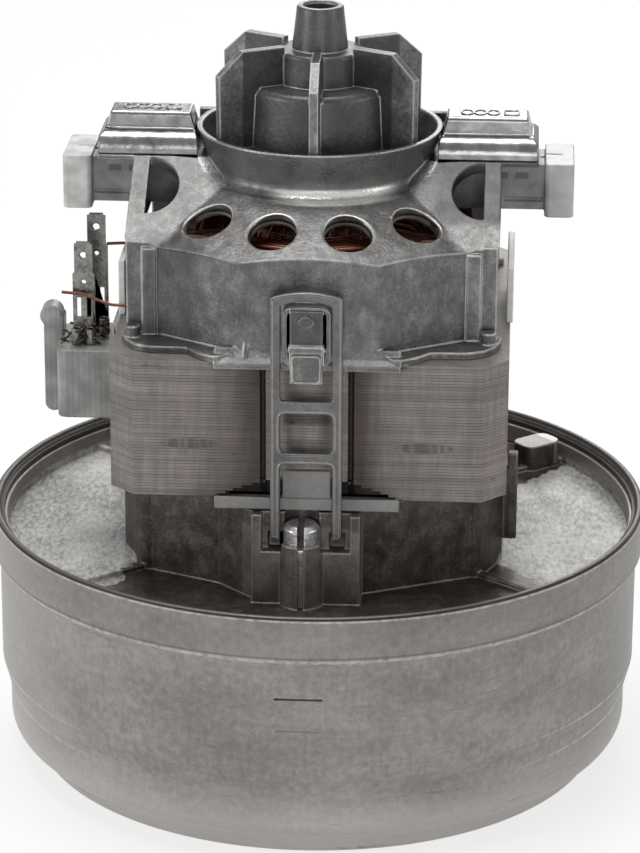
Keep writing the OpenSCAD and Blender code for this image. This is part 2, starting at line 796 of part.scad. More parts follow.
// Plastic bar under the edge of the stack: a strip before its face, a foot below it and a tab
module insulator_bar() {
    strip_t = bar_front - stack_half - seat_gap;
    union() {
        translate([-bar_x, -bar_front, bar_z]) cube([2 * bar_x, strip_t, bar_h]);
        translate([-bar_x, -bar_front, bar_z]) cube([2 * bar_x, 3.4, stack_z - seat_gap - bar_z]);
        translate([-5, -bar_front + 0.3, bar_z]) cube([10, strip_t - 0.3, bar_h + 6]);
    }
}

module insulator_bar_front() {
    color("#8d8f8d") insulator_bar();
}

module insulator_bar_back() {
    color("#8d8f8d") rotate([0, 0, 180]) insulator_bar();
}

// Plastic sheets that stand on the sides of the stack
module side_insulators() {
    color("#dcdcd6") for (i = [-1, 1])
        translate([i > 0 ? stack_side - 0.8 : -stack_side - 0.6, -sheet_y, stack_top])
        cube([1.4, 2 * sheet_y, sheet_h]);
}

// Arched edge of the strap from right to left, its corners at the given height
function strap_arc(x, z) = [
    for (i = [8 : -1 : -8]) let (k = i / 8, corner = abs(k) == 1 ? -1.2 : 0)
        [x * k, z + corner + strap_arch * (1 - k * k)]
];

// Ladder-shaped clip with two windows and two hooked feet
module retaining_strap() {
    leg_x = strap_w / 2 - strap_leg;
    bar_low = stack_z + stack_h * 0.3;
    bar_mid = stack_z + stack_h * 0.67;
    low_t = 1.9;
    mid_t = 2.5;
    top_t = 2;
    translate([0, -strap_y, 0]) rotate([90, 0, 0]) linear_extrude(strap_t) difference() {
        polygon(concat(
            [[strap_w / 2, strap_foot]], strap_arc(strap_w / 2, strap_top), [[-strap_w / 2, strap_foot]]
        ));
        translate([-leg_x, strap_foot - cut]) square([2 * leg_x, bar_low - strap_foot + cut - strap_fillet]);
        translate([0, bar_low - 2 * strap_fillet]) rounded(2 * leg_x, 4 * strap_fillet, strap_fillet);
        translate([0, (bar_low + low_t + bar_mid) / 2])
            rounded(2 * leg_x, bar_mid - bar_low - low_t, strap_fillet);
        polygon(concat(
            [[leg_x, bar_mid + mid_t]], strap_arc(leg_x, strap_top - top_t), [[-leg_x, bar_mid + mid_t]]
        ));
    }
    for (i = [-1, 1]) translate([i * (leg_x + strap_leg / 2), -strap_y - strap_t / 2, 0])
        translate([-strap_leg / 2, 0, strap_foot]) cube([strap_leg, strap_t / 2 + strap_hook, strap_foot_h]);
}

module retaining_strap_front() {
    color("#6f7072") union() retaining_strap();
}

module retaining_strap_back() {
    color("#6f7072") rotate([0, 0, 180]) union() retaining_strap();
}

// Plan of the skirt: flat front and back, slanting panels and square corner columns
function skirt_plan(inset, side) =
    let (x = house_x - side,
        y = column_y - inset,
        f = skirt_y - inset,
        e = skirt_edge - inset / 2,
        q = [[e, -f], [panel_x, -y], [x, -y], [x, y], [panel_x, y], [e, f]])
    concat(q, [for (i = [5 : -1 : 0]) [-q[i][0], q[i][1]]]);

// Round cone of the roof down to the stack; the inner one is lower by drop
module roof_cone(drop) {
    low = stack_top - (drop > 0 ? cut : 0);
    far = skirt_x + column_y;
    flat = roof_flat_r - drop / 3;
    rotate_extrude($fn = 144) polygon([
        [0, low], [far, low], [far, roof_z - drop - (far - flat) * roof_slope],
        [flat, roof_z - drop], [0, roof_z - drop]
    ]);
}

// Gabled roof over the columns on both sides, as high as the brush arms
module roof_gable(from, to, drop, lid) {
    low = stack_top - (drop > 0 ? cut : 0);
    far = skirt_y + cut;
    ridge = ridge_y - (drop - lid) / gable_slope;
    edge = arm_z - drop - (far - ridge_y) * gable_slope;
    for (i = [0, 1]) mirror([i, 0, 0]) translate([from, 0, 0]) rotate([90, 0, 90]) linear_extrude(to - from)
        polygon([
        [-far, low], [-far, edge], [-ridge, arm_z - lid], [ridge, arm_z - lid], [far, edge], [far, low]
    ]);
}

// The skirt with its roof: drawn solid, or as the hollow inside when inset is above 0
module skirt_body(inset, side) {
    base = inset > 0 ? cut : 0;
    intersection() {
        translate([0, 0, stack_top - base]) linear_extrude(arm_z - stack_top + 2 * base)
            polygon(skirt_plan(inset, side));
        union() {
            roof_cone(inset > 0 ? roof_t : 0);
            roof_gable(skirt_edge, house_x, inset > 0 ? gable_t : 0, inset > 0 ? arm_t : 0);
        }
    }
}

// Conical funnel with a fillet to the roof
module funnel() {
    lean = atan(funnel_slope);
    fillet_x = funnel_r - funnel_h * funnel_slope + fillet_r * tan(45 + lean / 2);
    rotate_extrude($fn = 144) polygon(concat(
        [[waist_r - funnel_skin, waist_z], [fillet_x, waist_z]],
        arc(fillet_x, roof_z + fillet_r, fillet_r, 270, 180 - lean, 8),
        [[funnel_r, funnel_z], [funnel_r - funnel_skin, funnel_z]]
    ));
}

// The space inside the funnel and below it, down to the stack
module funnel_way() {
    low_r = waist_r - funnel_skin;
    translate([0, 0, stack_top]) cylinder(r = low_r, h = waist_z - stack_top + 0.1, $fn = 144);
    translate([0, 0, waist_z])
        cylinder(r1 = low_r, r2 = funnel_r - funnel_skin, h = funnel_z - waist_z, $fn = 144);
}

// Round hole with a chamfer, square to the slope of the cone
module air_hole(az) {
    chamfer = 0.8;
    rotate([0, 0, az - 90]) translate([hole_ring, 0, roof_z - (hole_ring - roof_flat_r) * roof_slope])
        rotate([0, atan(roof_slope), 0]) {
            translate([0, 0, -8]) cylinder(r = hole_r, h = 14, $fn = 64);
            translate([0, 0, -0.65]) cylinder(r1 = hole_r, r2 = hole_r + chamfer, h = chamfer, $fn = 64);
        }
}

module d_hole() {
    translate([skirt_x - 3.3, -16, skirt_top - 2]) linear_extrude(20)
        polygon(arc(0, 0, d_hole_r, 90, 270, 24));
}

// Catch in front of the skirt: a rounded frame with a tongue, a bar and a square pad
module strap_catch() {
    frame_x = strap_w / 2 - strap_leg - loose_gap;
    frame_top = strap_top - 2 - loose_gap;
    frame_z = stack_top - 3.5;
    front = strap_y + strap_t;
    translate([0, -skirt_y + 0.4, 0]) rotate([90, 0, 0]) linear_extrude(front - skirt_y - 0.4) difference() {
        translate([0, (stack_top + 0.1 + frame_top) / 2])
            rounded(2 * frame_x, frame_top - stack_top - 0.1, 1.6);
        translate([0, frame_top - 5.2]) rounded(2 * frame_x - 2.4, 8, 1);
    }
    translate([-3.4, -front - 0.2, stack_top + 2.6])
        cube([6.8, front + 0.6 - skirt_y, frame_top - stack_top - 3]);
    translate([-3.7, -front - 0.9, stack_top + 3.3]) cube([7.4, front + 1.2 - skirt_y, 1.5]);
    translate([0, -front - 0.1, frame_top - 2.7]) rotate([90, 0, 0]) cylinder(r = 1.3, h = 0.7, $fn = 32);
    translate([-3.4, -front - 0.2, frame_z]) cube([6.8, front - stack_half + 0.1, stack_top + 3 - frame_z]);
}

module skirt_lip() {
    face = stack_half + seat_gap;
    edge = stack_half + lip;
    translate([-bar_x, 0, 0]) rotate([90, 0, 90]) linear_extrude(2 * bar_x) polygon([
        [-face, stack_top - 1.2], [-edge, stack_top - 1.2], [-edge, stack_top], [-face, stack_top + 0.9],
        [-skirt_y, stack_top + 2.6], [-skirt_y + 0.6, stack_top + 2.6], [-skirt_y + 0.6, stack_top],
        [-face, stack_top]
    ]);
    translate([-13.3, 0, 0]) rotate([90, 0, 90]) linear_extrude(1) polygon([
        [-face - 0.4, stack_top + 0.6], [-skirt_y, stack_top + 4], [-skirt_y + 0.6, stack_top + 4],
        [-skirt_y + 0.6, stack_top + 0.6]
    ]);
}

// Flange at the foot of a slanting panel
module skirt_ledge() {
    translate([0, 0, stack_top]) linear_extrude(ledge_t) polygon([
        [bar_x - 1, -stack_half - lip + 0.4], [bar_x, -stack_half - lip + 0.4],
        [bar_x + 3, -stack_half + 0.8], [bar_x + 6.1, -stack_half + 4.2],
        [panel_x - 1, -stack_half + 4.4], [skirt_x - 2.4, -stack_half + 6],
        [skirt_x - 0.4, -stack_half + 8.7],
        [skirt_x + 0.9, -stack_half + 12.5], [skirt_x + 1.1, -stack_half + 15.5],
        [column_mid, -column_in - 1], [column_x + 1, -column_y + 1], [skirt_edge, -skirt_y + 0.6]
    ]);
    translate([skirt_x - 1.6, -column_y - 2.5, stack_top]) cylinder(r = 1.6, h = 4, $fn = 32);
}

module column() {
    translate([(skirt_x + column_mid) / 2, -(column_y + column_in) / 2, 0])
        block(skirt_x - column_mid, column_y - column_in, skirt_h - 1, stack_top);
    translate([(column_x + column_mid) / 2, -(column_y + rib_step + column_in) / 2, 0])
        block(column_mid - column_x, column_y + rib_step - column_in, skirt_h - 2.2, stack_top);
}

module bearing_spider() {
    leg_end = funnel_r - (funnel_z - spider_z) * funnel_slope - 0.2;
    translate([0, 0, spider_z]) difference() {
        union() {
            cylinder(r = top_housing_r, h = top_housing_z - spider_z, $fn = 96);
            for (a = [45 : 90 : 315]) rotate([0, 0, a]) translate([top_housing_r - 1, -spider_w / 2, 0])
                cube([leg_end - top_housing_r + 1, spider_w, spider_h]);
        }
        translate([0, 0, top_bearing_z - spider_z]) cylinder(r = top_ring_r + 0.05, h = 20, $fn = 96);
        translate([0, 0, -cut]) cylinder(r = shaft_r + 0.7, h = 20, $fn = 96);
    }
}

module holder_way(i) {
    way_y = holder_y + loose_gap;
    translate([i > 0 ? waist_r - 4 : -house_x - cut, -way_y, brush_z - holder_h / 2 - loose_gap])
        cube([house_x - waist_r + 4 + cut, 2 * way_y, holder_h + 2 * loose_gap]);
}

// Small upright ear behind the inner end of a clamp
module clamp_ear() {
    translate([funnel_r - 3.2, ridge_y + 4, arm_z - 3.6]) cube([3.8, 1.6, 8.4]);
}

module upper_bracket() {
    color("#63625f") union() {
        difference() {
            union() {
                skirt_body(0, 0);
                translate([-arm_end, -ridge_y, arm_z - arm_t]) cube([2 * arm_end, 2 * ridge_y, arm_t]);
                for (j = [0, 180]) rotate([0, 0, j]) {
                    strap_catch();
                    skirt_lip();
                }
            }
            difference() {
                skirt_body(roof_t, end_wall);
                for (i = [-1, 1], j = [-1, 1]) translate([i * (column_x + 10), j * (column_in + 10), 0])
                    block(20, 20, skirt_h, stack_top);
            }
            funnel_way();
            for (i = [-1, 1]) {
                holder_way(i);
                translate([i * house_x, 0, 0]) block(8, 2 * column_in, skirt_h - 1.5, stack_top - cut);
                for (j = [-1, 1]) translate([i * house_x, j * column_y, stack_top - cut])
                    block(2 * (house_x - skirt_x), 20, skirt_h - 1 + cut, 0);
                for (j = [0, 1]) mirror([i < 0 ? 1 : 0, 0, 0]) mirror([0, j, 0]) d_hole();
            }
            for (j = [0, 180], i = [-38.6, -13, 13, 38.6]) rotate([0, 0, j]) air_hole(i);
        }
        difference() {
            funnel();
            for (i = [-1, 1]) holder_way(i);
        }
        for (i = [0, 1], j = [0, 1]) mirror([i, 0, 0]) mirror([0, j, 0]) {
            column();
            skirt_ledge();
        }
        for (i = [0, 1]) mirror([i, 0, 0]) clamp_ear();
        bearing_spider();
    }
}

// Outline of a pressed saddle: a low tier with rolled shoulders and a narrower tier on top
module saddle_outline(inset) {
    low_y = clamp_y - inset;
    top_y = clamp_top_y - inset / 2;
    low_h = clamp_low_h - inset;
    top_h = clamp_h - 1 - inset;
    roll = clamp_roll - inset;
    polygon(concat(
        [[-low_y, -inset], [low_y, -inset]],
        arc(low_y - roll, low_h - roll, roll, 0, 90, 8),
        [[top_y, low_h]],
        arc(top_y - 1, top_h, 1, 0, 90, 6),
        arc(1 - top_y, top_h, 1, 90, 180, 6),
        [[-top_y, low_h]],
        arc(roll - low_y, low_h - roll, roll, 90, 180, 8)
    ));
}

// Side view of the saddle: the ends of its top tier slope
module saddle_side(inset) {
    from = clamp_in + inset;
    to = clamp_out - inset;
    polygon([
        [from, -inset], [to, -inset], [to, clamp_low_h - 1.2 - inset], [to - 1.2, clamp_low_h - inset],
        [to - 1.4, clamp_low_h - inset], [to - 2.4, clamp_h - inset], [from + 2.6, clamp_h - inset],
        [from + 1.6, clamp_low_h - inset], [from, clamp_low_h - inset]
    ]);
}

module saddle(inset) {
    intersection() {
        translate([clamp_in - cut, 0, 0]) rotate([90, 0, 90]) linear_extrude(clamp_out - clamp_in + 2 * cut)
            saddle_outline(inset);
        rotate([90, 0, 0]) translate([0, 0, -clamp_y - cut]) linear_extrude(2 * clamp_y + 2 * cut)
            saddle_side(inset);
    }
}

module brush_clamp_right() {
    color("#b4b3b0") translate([0, 0, arm_z]) difference() {
        saddle(0);
        saddle(clamp_sheet);
        translate([0, 0, -cut]) cylinder(r = funnel_r + 0.4, h = 20, $fn = 144);
    }
}

module brush_clamp_left() {
    mirror([1, 0, 0]) brush_clamp_right();
}

module brush_holder_right() {
    low = brush_z - holder_h / 2;
    cap_z = low - cap_drop;
    cap_x = holder_end - cap_l;
    color("#cfcfca") difference() {
        union() {
            translate([holder_in, -holder_y, low]) cube([cap_x - holder_in + 1, 2 * holder_y, holder_h]);
            translate([cap_x + cap_l / 2, 0, 0]) soft_block(cap_l, 2 * cap_y, cap_h, cap_z, 1.2);
        }
        translate([holder_in - cut, -tube_y - seat_gap, brush_z - tube_z - seat_gap])
            cube([tube_out + seat_gap - holder_in + cut, 2 * (tube_y + seat_gap), 2 * (tube_z + seat_gap)]);
        for (j = [-1, 1]) translate([(house_x + cap_x) / 2, j * (holder_y + 0.5), 0])
            block(cap_x - house_x - 1.2, 2, 0.8, low + 1.8);
        translate([cap_x - cut, -0.3, cap_z + cap_h - 1]) cube([3.6 + cut, 0.6, 2]);
    }
}

module brush_holder_left() {
    mirror([1, 0, 0]) brush_holder_right();
}

module brush_tube_right() {
    color("#b08d4c") difference() {
        translate([tube_in, -tube_y, brush_z - tube_z]) cube([tube_out - tube_in, 2 * tube_y, 2 * tube_z]);
        translate([tube_in - cut, -tube_y + tube_wall, brush_z - tube_z + tube_wall])
            cube([tube_out - tube_in + cut - tube_wall, 2 * (tube_y - tube_wall), 2 * (tube_z - tube_wall)]);
    }
}

module brush_tube_left() {
    mirror([1, 0, 0]) brush_tube_right();
}

module carbon_brush_right() {
    color("#2e2d2d") difference() {
        translate([comm_r - 0.6, -brush_w / 2, brush_z - brush_h / 2])
            cube([brush_l + 0.6, brush_w, brush_h]);
        translate([0, 0, brush_z - brush_h]) cylinder(r = comm_r + 0.2, h = 2 * brush_h, $fn = 96);
    }
}

module carbon_brush_left() {
    mirror([1, 0, 0]) carbon_brush_right();
}

module brush_spring_right() {
    from = comm_r + brush_l + loose_gap + spring_wire / 2;
    to = tube_out - tube_wall - loose_gap - spring_wire / 2;
    route = [for (i = [0 : 8 * spring_curls]) let (a = 45 * i)
        [from + (to - from) * i / (8 * spring_curls), spring_r * cos(a), brush_z + spring_r * sin(a)]];
    color("#a7a9ab") sweep_tube(route, spring_wire / 2, 6, [1, 0, 0]);
}

module brush_spring_left() {
    color("#a7a9ab") rotate([0, 0, 180]) brush_spring_right();
}

module armature_core() {
    color("#6a625c") translate([0, 0, stack_z]) linear_extrude(stack_h) difference() {
        circle(r = core_r, $fn = 96);
        circle(r = core_shaft_r + 0.02, $fn = 64);
        for (i = [0 : slots - 1]) rotate(360 * i / slots) {
            translate([slot_ring, 0]) circle(r = slot_r, $fn = 32);
            translate([slot_ring, -slot_mouth / 2]) square([core_r - slot_ring + cut, slot_mouth]);
        }
    }
}

module armature_winding() {
    hole = core_shaft_r + 0.5;
    out = core_r - 1.6;
    top = comm_z - 0.2;
    color("#7d4a2b") union() {
        rotate_extrude($fn = 72) polygon(concat(
            [[hole, stack_z - 0.1], [hole, stack_z - end_h + 1]],
            arc(out - 3, stack_z - end_h + 3, 3, -90, 0, 5),
            [[out, stack_z - 0.1]]
        ));
        rotate_extrude($fn = 72) polygon(concat(
            [[hole, stack_top + 0.1], [out, stack_top + 0.1]],
            arc(out - 4, stack_top + 5, 4, 0, 60, 5),
            [[riser_r + 0.6, top - 2], [riser_r, top], [hole, top]]
        ));
        for (i = [0 : slots - 1]) rotate([0, 0, 360 * i / slots]) translate([slot_ring, 0, stack_z - 0.5])
            cylinder(r = slot_r - 0.15, h = stack_h + 1, $fn = 24);
    }
}

module commutator() {
    color("#a86f45") translate([0, 0, comm_z]) difference() {
        union() {
            cylinder(r = comm_r, h = comm_top - comm_z, $fn = 96);
            cylinder(r = riser_r, h = riser_h, $fn = 96);
        }
        translate([0, 0, -cut]) cylinder(r = shaft_r + 0.02, h = 40, $fn = 64);
        for (i = [0 : 2 * slots - 1]) rotate([0, 0, 180 * i / slots]) translate([comm_r - 0.9, -0.2, -cut])
            cube([4, 0.4, 40]);
    }
}

// Outline of a blade: its lower edge follows the funnel, its top corner is cut off
function blade_outline() = [
    [cup_r - 0.2, cup_z], [blade_low_r, cup_z],
    [blade_r - 0.2, cup_z + (blade_r - 0.2 - blade_low_r) / funnel_slope],
    [blade_r, blade_top - 5], [blade_r - 5.6, blade_top], [collar_r - 0.6, blade_top],
    [collar_r - 0.6, cup_top - 0.6], [cup_r - 0.6, cup_top - 0.6]
];

module cooling_fan() {
    color("#3f3f3e") union() {
        rotate_extrude($fn = 96) polygon(concat(
            [[cup_r + 0.9, cup_z], [cup_r + 0.3, cup_top - 2.4]],
            arc(cup_r - 1.2, cup_top - 1.5, 1.5, 0, 90, 6),
            [[collar_r, cup_top]],
            arc(collar_r - 0.8, cup_top + collar_h - 0.8, 0.8, 0, 90, 4),
            [[boss_low_r, cup_top + collar_h], [boss_top_r, fan_z - 0.4], [boss_top_r - 0.4, fan_z],
            [top_shaft_r + 0.4, fan_z], [top_shaft_r + 0.02, fan_z - 0.5],
            [top_shaft_r + 0.02, cup_top - cup_wall],
            [cup_r - cup_wall, cup_top - cup_wall], [cup_r - cup_wall + 0.7, cup_z]]
        ));
        for (i = [0 : fan_blades - 1]) rotate([0, 0, 360 * i / fan_blades - 90])
            rotate([90, 0, 0]) translate([0, 0, -blade_t / 2]) linear_extrude(blade_t)
                polygon(blade_outline());
    }
}

module terminal_block() {
    left = stack_side + seat_gap + block_w;
    plate_t = 1.6;
    color("#d9dad6") difference() {
        union() {
            translate([-left + block_w / 2, block_y, 0]) soft_block(block_w, block_d, block_h, block_z, 2.2);
            translate([-stack_side - seat_gap - plate_t, block_y - block_d / 2 + 1, block_z])
                cube([plate_t, block_d - 2, stack_top - 1 - block_z]);
            translate([-left, block_y + 4.5, block_z]) rotate([90, 0, 0]) linear_extrude(5) union() {
                translate([-2.2, block_h + 4.5]) circle(r = 2.4, $fn = 48);
                translate([-3.8, 0]) square([4.4, block_h + 4.5]);
                translate([-1.9, 0]) circle(r = 1.9, $fn = 48);
            }
        }
        for (k = [0, 1]) translate([tab_x[k] - tab_w / 2 - 0.1, tab_y[k] - tab_t / 2 - 0.1, block_z + 4])
            cube([tab_w + 0.2, tab_t + 0.2, block_h]);
    }
}

// Flat blade with a hole near its tip, two windows and a curled root
module terminal_tab(x, y, top) {
    base = block_z + 4.2;
    translate([x, y + tab_t / 2, 0]) rotate([90, 0, 0]) linear_extrude(tab_t) difference() {
        union() {
            translate([-tab_w / 2, base]) square([tab_w, top - base - tab_shoulder]);
            translate([-tab_w / 2 + 0.4, base]) square([tab_w - 0.8, top - base - 0.5]);
            translate([-tab_w / 2 + 0.9, base]) square([tab_w - 1.8, top - base]);
        }
        translate([0, top - 3]) circle(r = 0.75, $fn = 32);
        translate([0, top - 9]) circle(r = 0.5, $fn = 32);
        for (i = [-1, 1]) translate([i * 1.1, block_z + block_h + 8]) square([0.9, 4.4], center = true);
    }
    for (i = [-1, 1]) translate([x + i * 1.5, y - tab_t / 2 - 0.9, block_z + block_h + 0.2]) difference() {
        cylinder(r = 1.2, h = 3.4, $fn = 32);
        translate([0, 0, -cut]) cylinder(r = 0.7, h = 6, $fn = 32);
    }
}

module terminal_tabs() {
    color("#a9aaa6") for (k = [0, 1]) union() terminal_tab(tab_x[k], tab_y[k], tab_top[k]);
}

// Two short wires from the blades, through the open side of the bracket, to the front coil
module lead_wires() {
    tail_0 = coil_point(coil_start, 0, coil_loops);
    tail_1 = coil_point(coil_start, 1, coil_loops);
    color("#7c3c22") {
        sweep_tube([
            [tab_x[0] + tab_w / 2 - 0.6, tab_y[0] + 1, stack_top + 12.6],
            [-stack_side - 2, -3.6, stack_top + 12.8], [-stack_side + 1.2, -4, stack_top + 13],
            [-stack_side + 5.7, -5.4, stack_top + 13], [-stack_side + 9.7, -8, stack_top + 13.6],
            tail_0 + [-3.2, -1.2, -1.4]
        ], wire_r, wire_sides, [0, 0, 1]);
        sweep_tube([
            [tab_x[1] - 4.6, tab_y[1] - 1.4, stack_top + 4.6], [tab_x[1], tab_y[1] - 1.5, stack_top + 4.2],
            [-stack_side - 4, -15.2, stack_top + 3.2], [-stack_side - 1, -15.8, stack_top + 2.7],
            [-stack_side + 4.1, -15.8, stack_top + 3.2], [-stack_side + 8.3, -15.6, stack_top + 6],
            [-stack_side + 10.7, -14.6, stack_top + 10],
            tail_1 + [-1.6, -2.2, -2.2]
        ], wire_r, wire_sides, [0, 0, 1]);
    }
}

fan_can();
rim_gasket();
spacer_ring();
stage_plate();
return_guide();
lower_bracket();
lower_bearing_outer();
lower_bearing_balls();
lower_bearing_inner();
bearing_retainer();
retainer_screws();
spring_pin();
stator_stack();
slot_liners();
field_coil_front();
field_coil_back();
insulator_bar_front();
insulator_bar_back();
side_insulators();
retaining_strap_front();
retaining_strap_back();
upper_bracket();
upper_bearing_outer();
upper_bearing_balls();
upper_bearing_inner();
brush_clamp_left();
brush_clamp_right();
brush_holder_left();
brush_holder_right();
brush_tube_left();
brush_tube_right();
brush_spring_left();
brush_spring_right();
carbon_brush_left();
carbon_brush_right();
terminal_block();
terminal_tabs();
lead_wires();
shaft();
armature_core();
armature_winding();
commutator();
impeller_first();
impeller_second();
impeller_spacer();
bearing_spacer();
impeller_washers();
shaft_nut();
cooling_fan();
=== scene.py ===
# %% [markdown]
# # A vacuum motor unit, dressed in Blender
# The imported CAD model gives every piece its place. This file adds what a solid can't say: sheet metal
# that shows its drawing marks, a casting with worn edges, laminations, wire and moulded plastic.
# Everything is in metres, with the shaft on the Z axis and the front of the motor towards -Y.

import json
import math

import bmesh
import bpy
from mathutils import Matrix, Vector


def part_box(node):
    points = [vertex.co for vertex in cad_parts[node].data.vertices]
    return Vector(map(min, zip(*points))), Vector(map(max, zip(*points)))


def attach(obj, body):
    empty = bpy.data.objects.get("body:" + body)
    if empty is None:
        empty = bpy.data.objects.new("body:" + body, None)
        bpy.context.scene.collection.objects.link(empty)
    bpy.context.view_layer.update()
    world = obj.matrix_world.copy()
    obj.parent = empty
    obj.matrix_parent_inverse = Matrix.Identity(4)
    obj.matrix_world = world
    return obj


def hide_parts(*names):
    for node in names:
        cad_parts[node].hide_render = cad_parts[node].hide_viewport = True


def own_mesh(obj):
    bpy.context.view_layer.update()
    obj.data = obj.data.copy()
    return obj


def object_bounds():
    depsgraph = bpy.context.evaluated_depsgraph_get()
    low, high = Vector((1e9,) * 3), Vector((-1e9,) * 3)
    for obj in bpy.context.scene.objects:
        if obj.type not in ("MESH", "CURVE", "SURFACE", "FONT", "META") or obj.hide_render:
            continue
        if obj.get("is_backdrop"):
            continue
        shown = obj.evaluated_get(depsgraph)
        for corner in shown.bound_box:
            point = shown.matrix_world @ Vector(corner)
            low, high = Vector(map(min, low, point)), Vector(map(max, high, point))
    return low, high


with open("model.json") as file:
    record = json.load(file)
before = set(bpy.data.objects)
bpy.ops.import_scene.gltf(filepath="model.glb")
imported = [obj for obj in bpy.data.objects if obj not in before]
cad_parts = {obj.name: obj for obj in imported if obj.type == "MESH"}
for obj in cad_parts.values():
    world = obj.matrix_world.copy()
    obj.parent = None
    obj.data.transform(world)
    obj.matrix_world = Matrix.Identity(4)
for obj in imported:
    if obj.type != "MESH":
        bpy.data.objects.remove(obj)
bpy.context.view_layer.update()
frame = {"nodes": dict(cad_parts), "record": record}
MM = 0.001

# %% [markdown]
# ## The camera
# The photograph looks down at the motor by 20 degrees from 0.8 m away, turned 3.2 degrees to its side.
# The numbers come from the ellipses of the rim and the foot. Blender counts a lens against a 36 mm
# sensor along the picture's long side, so the focal length in pixels is scaled by that side.

# %% Camera
PICTURE = (640, 853)
FOCAL_PX = 3614.0
AXIS_PX = 318.5
DISTANCE, HEIGHT = 0.750, 0.3456
PITCH, YAW, ROLL = 0.3488, math.radians(3.2), 0.0045

turn = Matrix.Rotation(YAW, 3, "Z")
right = turn @ Vector((1, 0, 0))
ahead = turn @ Vector((0, math.cos(PITCH), -math.sin(PITCH)))
down = turn @ Vector((0, -math.sin(PITCH), -math.cos(PITCH)))
level_right = right * math.cos(ROLL) - down * math.sin(ROLL)
level_up = -(right * math.sin(ROLL) + down * math.cos(ROLL))

camera_data = bpy.data.cameras.new("camera")
camera_data.sensor_width = 36.0
camera_data.lens = FOCAL_PX / max(PICTURE) * camera_data.sensor_width
camera_data.shift_x = (PICTURE[0] / 2 - AXIS_PX) / max(PICTURE)
camera_data.clip_start, camera_data.clip_end = 0.01, 20
camera = bpy.data.objects.new("camera", camera_data)
bpy.context.scene.collection.objects.link(camera)
camera.matrix_world = Matrix.Translation(turn @ Vector((0, -DISTANCE, HEIGHT))) @ Matrix((
    (level_right.x, level_up.x, -ahead.x), (level_right.y, level_up.y, -ahead.y),
    (level_right.z, level_up.z, -ahead.z))).to_4x4()
bpy.context.scene.camera = camera
print("lens %.1f mm" % camera_data.lens)

# %% [markdown]
# ## Shader maths
# A material is a small program of nodes. Wiring them by hand is slow to read, so this class wraps a
# socket: `1 - mask * 0.5` adds the Math nodes by itself. `step`, `above` and `near` make the masks that
# place a mark on a piece; the last two are in millimetres, like a drawing.

# %% A socket that can be calculated with


class Sock:
    """A socket of a node tree that can be used in sums, products and masks."""

    def __init__(self, tree, out):
        self.tree, self.out = tree, out

    def maths(self, operation, *values):
        return node(self.tree, "ShaderNodeMath", {"operation": operation}, *values)

    def __add__(self, b):
        return self.maths("ADD", self, b)

    def __sub__(self, b):
        return self.maths("SUBTRACT", self, b)

    def __mul__(self, b):
        return self.maths("MULTIPLY", self, b)

    def __truediv__(self, b):
        return self.maths("DIVIDE", self, b)

    def __rsub__(self, b):
        return self.maths("SUBTRACT", b, self)

    __radd__, __rmul__ = __add__, __mul__

    def power(self, b):
        return self.maths("POWER", self, b)

    def wave(self):
        return self.maths("SINE", self)

    def size(self):
        return self.maths("ABSOLUTE", self)

    def clamp(self):
        return node(self.tree, "ShaderNodeClamp", {}, self)

    def step(self, low, high):
        """0 below low, 1 above high, smooth between."""
        settings = {"interpolation_type": "SMOOTHSTEP"}
        return node(self.tree, "ShaderNodeMapRange", settings, self, low, high, 0.0, 1.0)

    def above(self, limit_mm, blur_mm):
        """1 beyond a limit and 0 before it, with a soft border that starts at the limit."""
        return self.step(limit_mm * MM, (limit_mm + blur_mm) * MM)

    def near(self, place_mm, reach_mm, blur_mm):
        """1 within reach of a place, on both sides of it, and 0 beyond a soft border."""
        return 1 - (self - place_mm * MM).size().above(reach_mm, blur_mm)


def across(x, y):
    """The distance that two sockets at right angles make."""
    return (x * x + y * y).power(0.5)


print("masks are in units of", MM, "m")

# %% [markdown]
# Nearly every node comes from one function. Its settings go in first, because a setting such as the
# data type of a Mix node decides which sockets are enabled. Then the inputs are filled in order.

# %% One function for any node


def node(tree, kind, settings, *values, out=0):
    """Adds a node: its settings first, then the values or links of its inputs, in order."""
    n = tree.nodes.new(kind)
    for key, value in settings.items():
        if key == "stops":
            ramp = n.color_ramp
            while len(ramp.elements) < len(value):
                ramp.elements.new(0.5)
            for element, (place, colour) in zip(ramp.elements, value):
                element.position, element.color = place, (*colour, 1)
        else:
            setattr(n, key, value)
    sockets = [s for s in n.inputs if s.enabled]
    for socket, value in zip(sockets, values):
        if isinstance(value, Sock):
            tree.links.new(value.out, socket)
        elif value is not None:
            socket.default_value = value
    outs = [s for s in n.outputs if s.enabled]
    return Sock(tree, outs[out])


def srgb(*values):
    """Linear colour of sRGB values from 0 to 255."""
    return tuple(v / 3294.6 if v <= 10.3 else ((v / 255 + 0.055) / 1.055) ** 2.4 for v in values)


print("middle grey is", round(srgb(119)[0], 3))

# %% [markdown]
# A finish is a Principled material with object coordinates and the steps that every one of them needs:
# noise of a size in millimetres, a mix, a ramp, a mask of the worn edges and a bump. Object coordinates
# are used because they stay with a piece when it moves.

# %% A finish


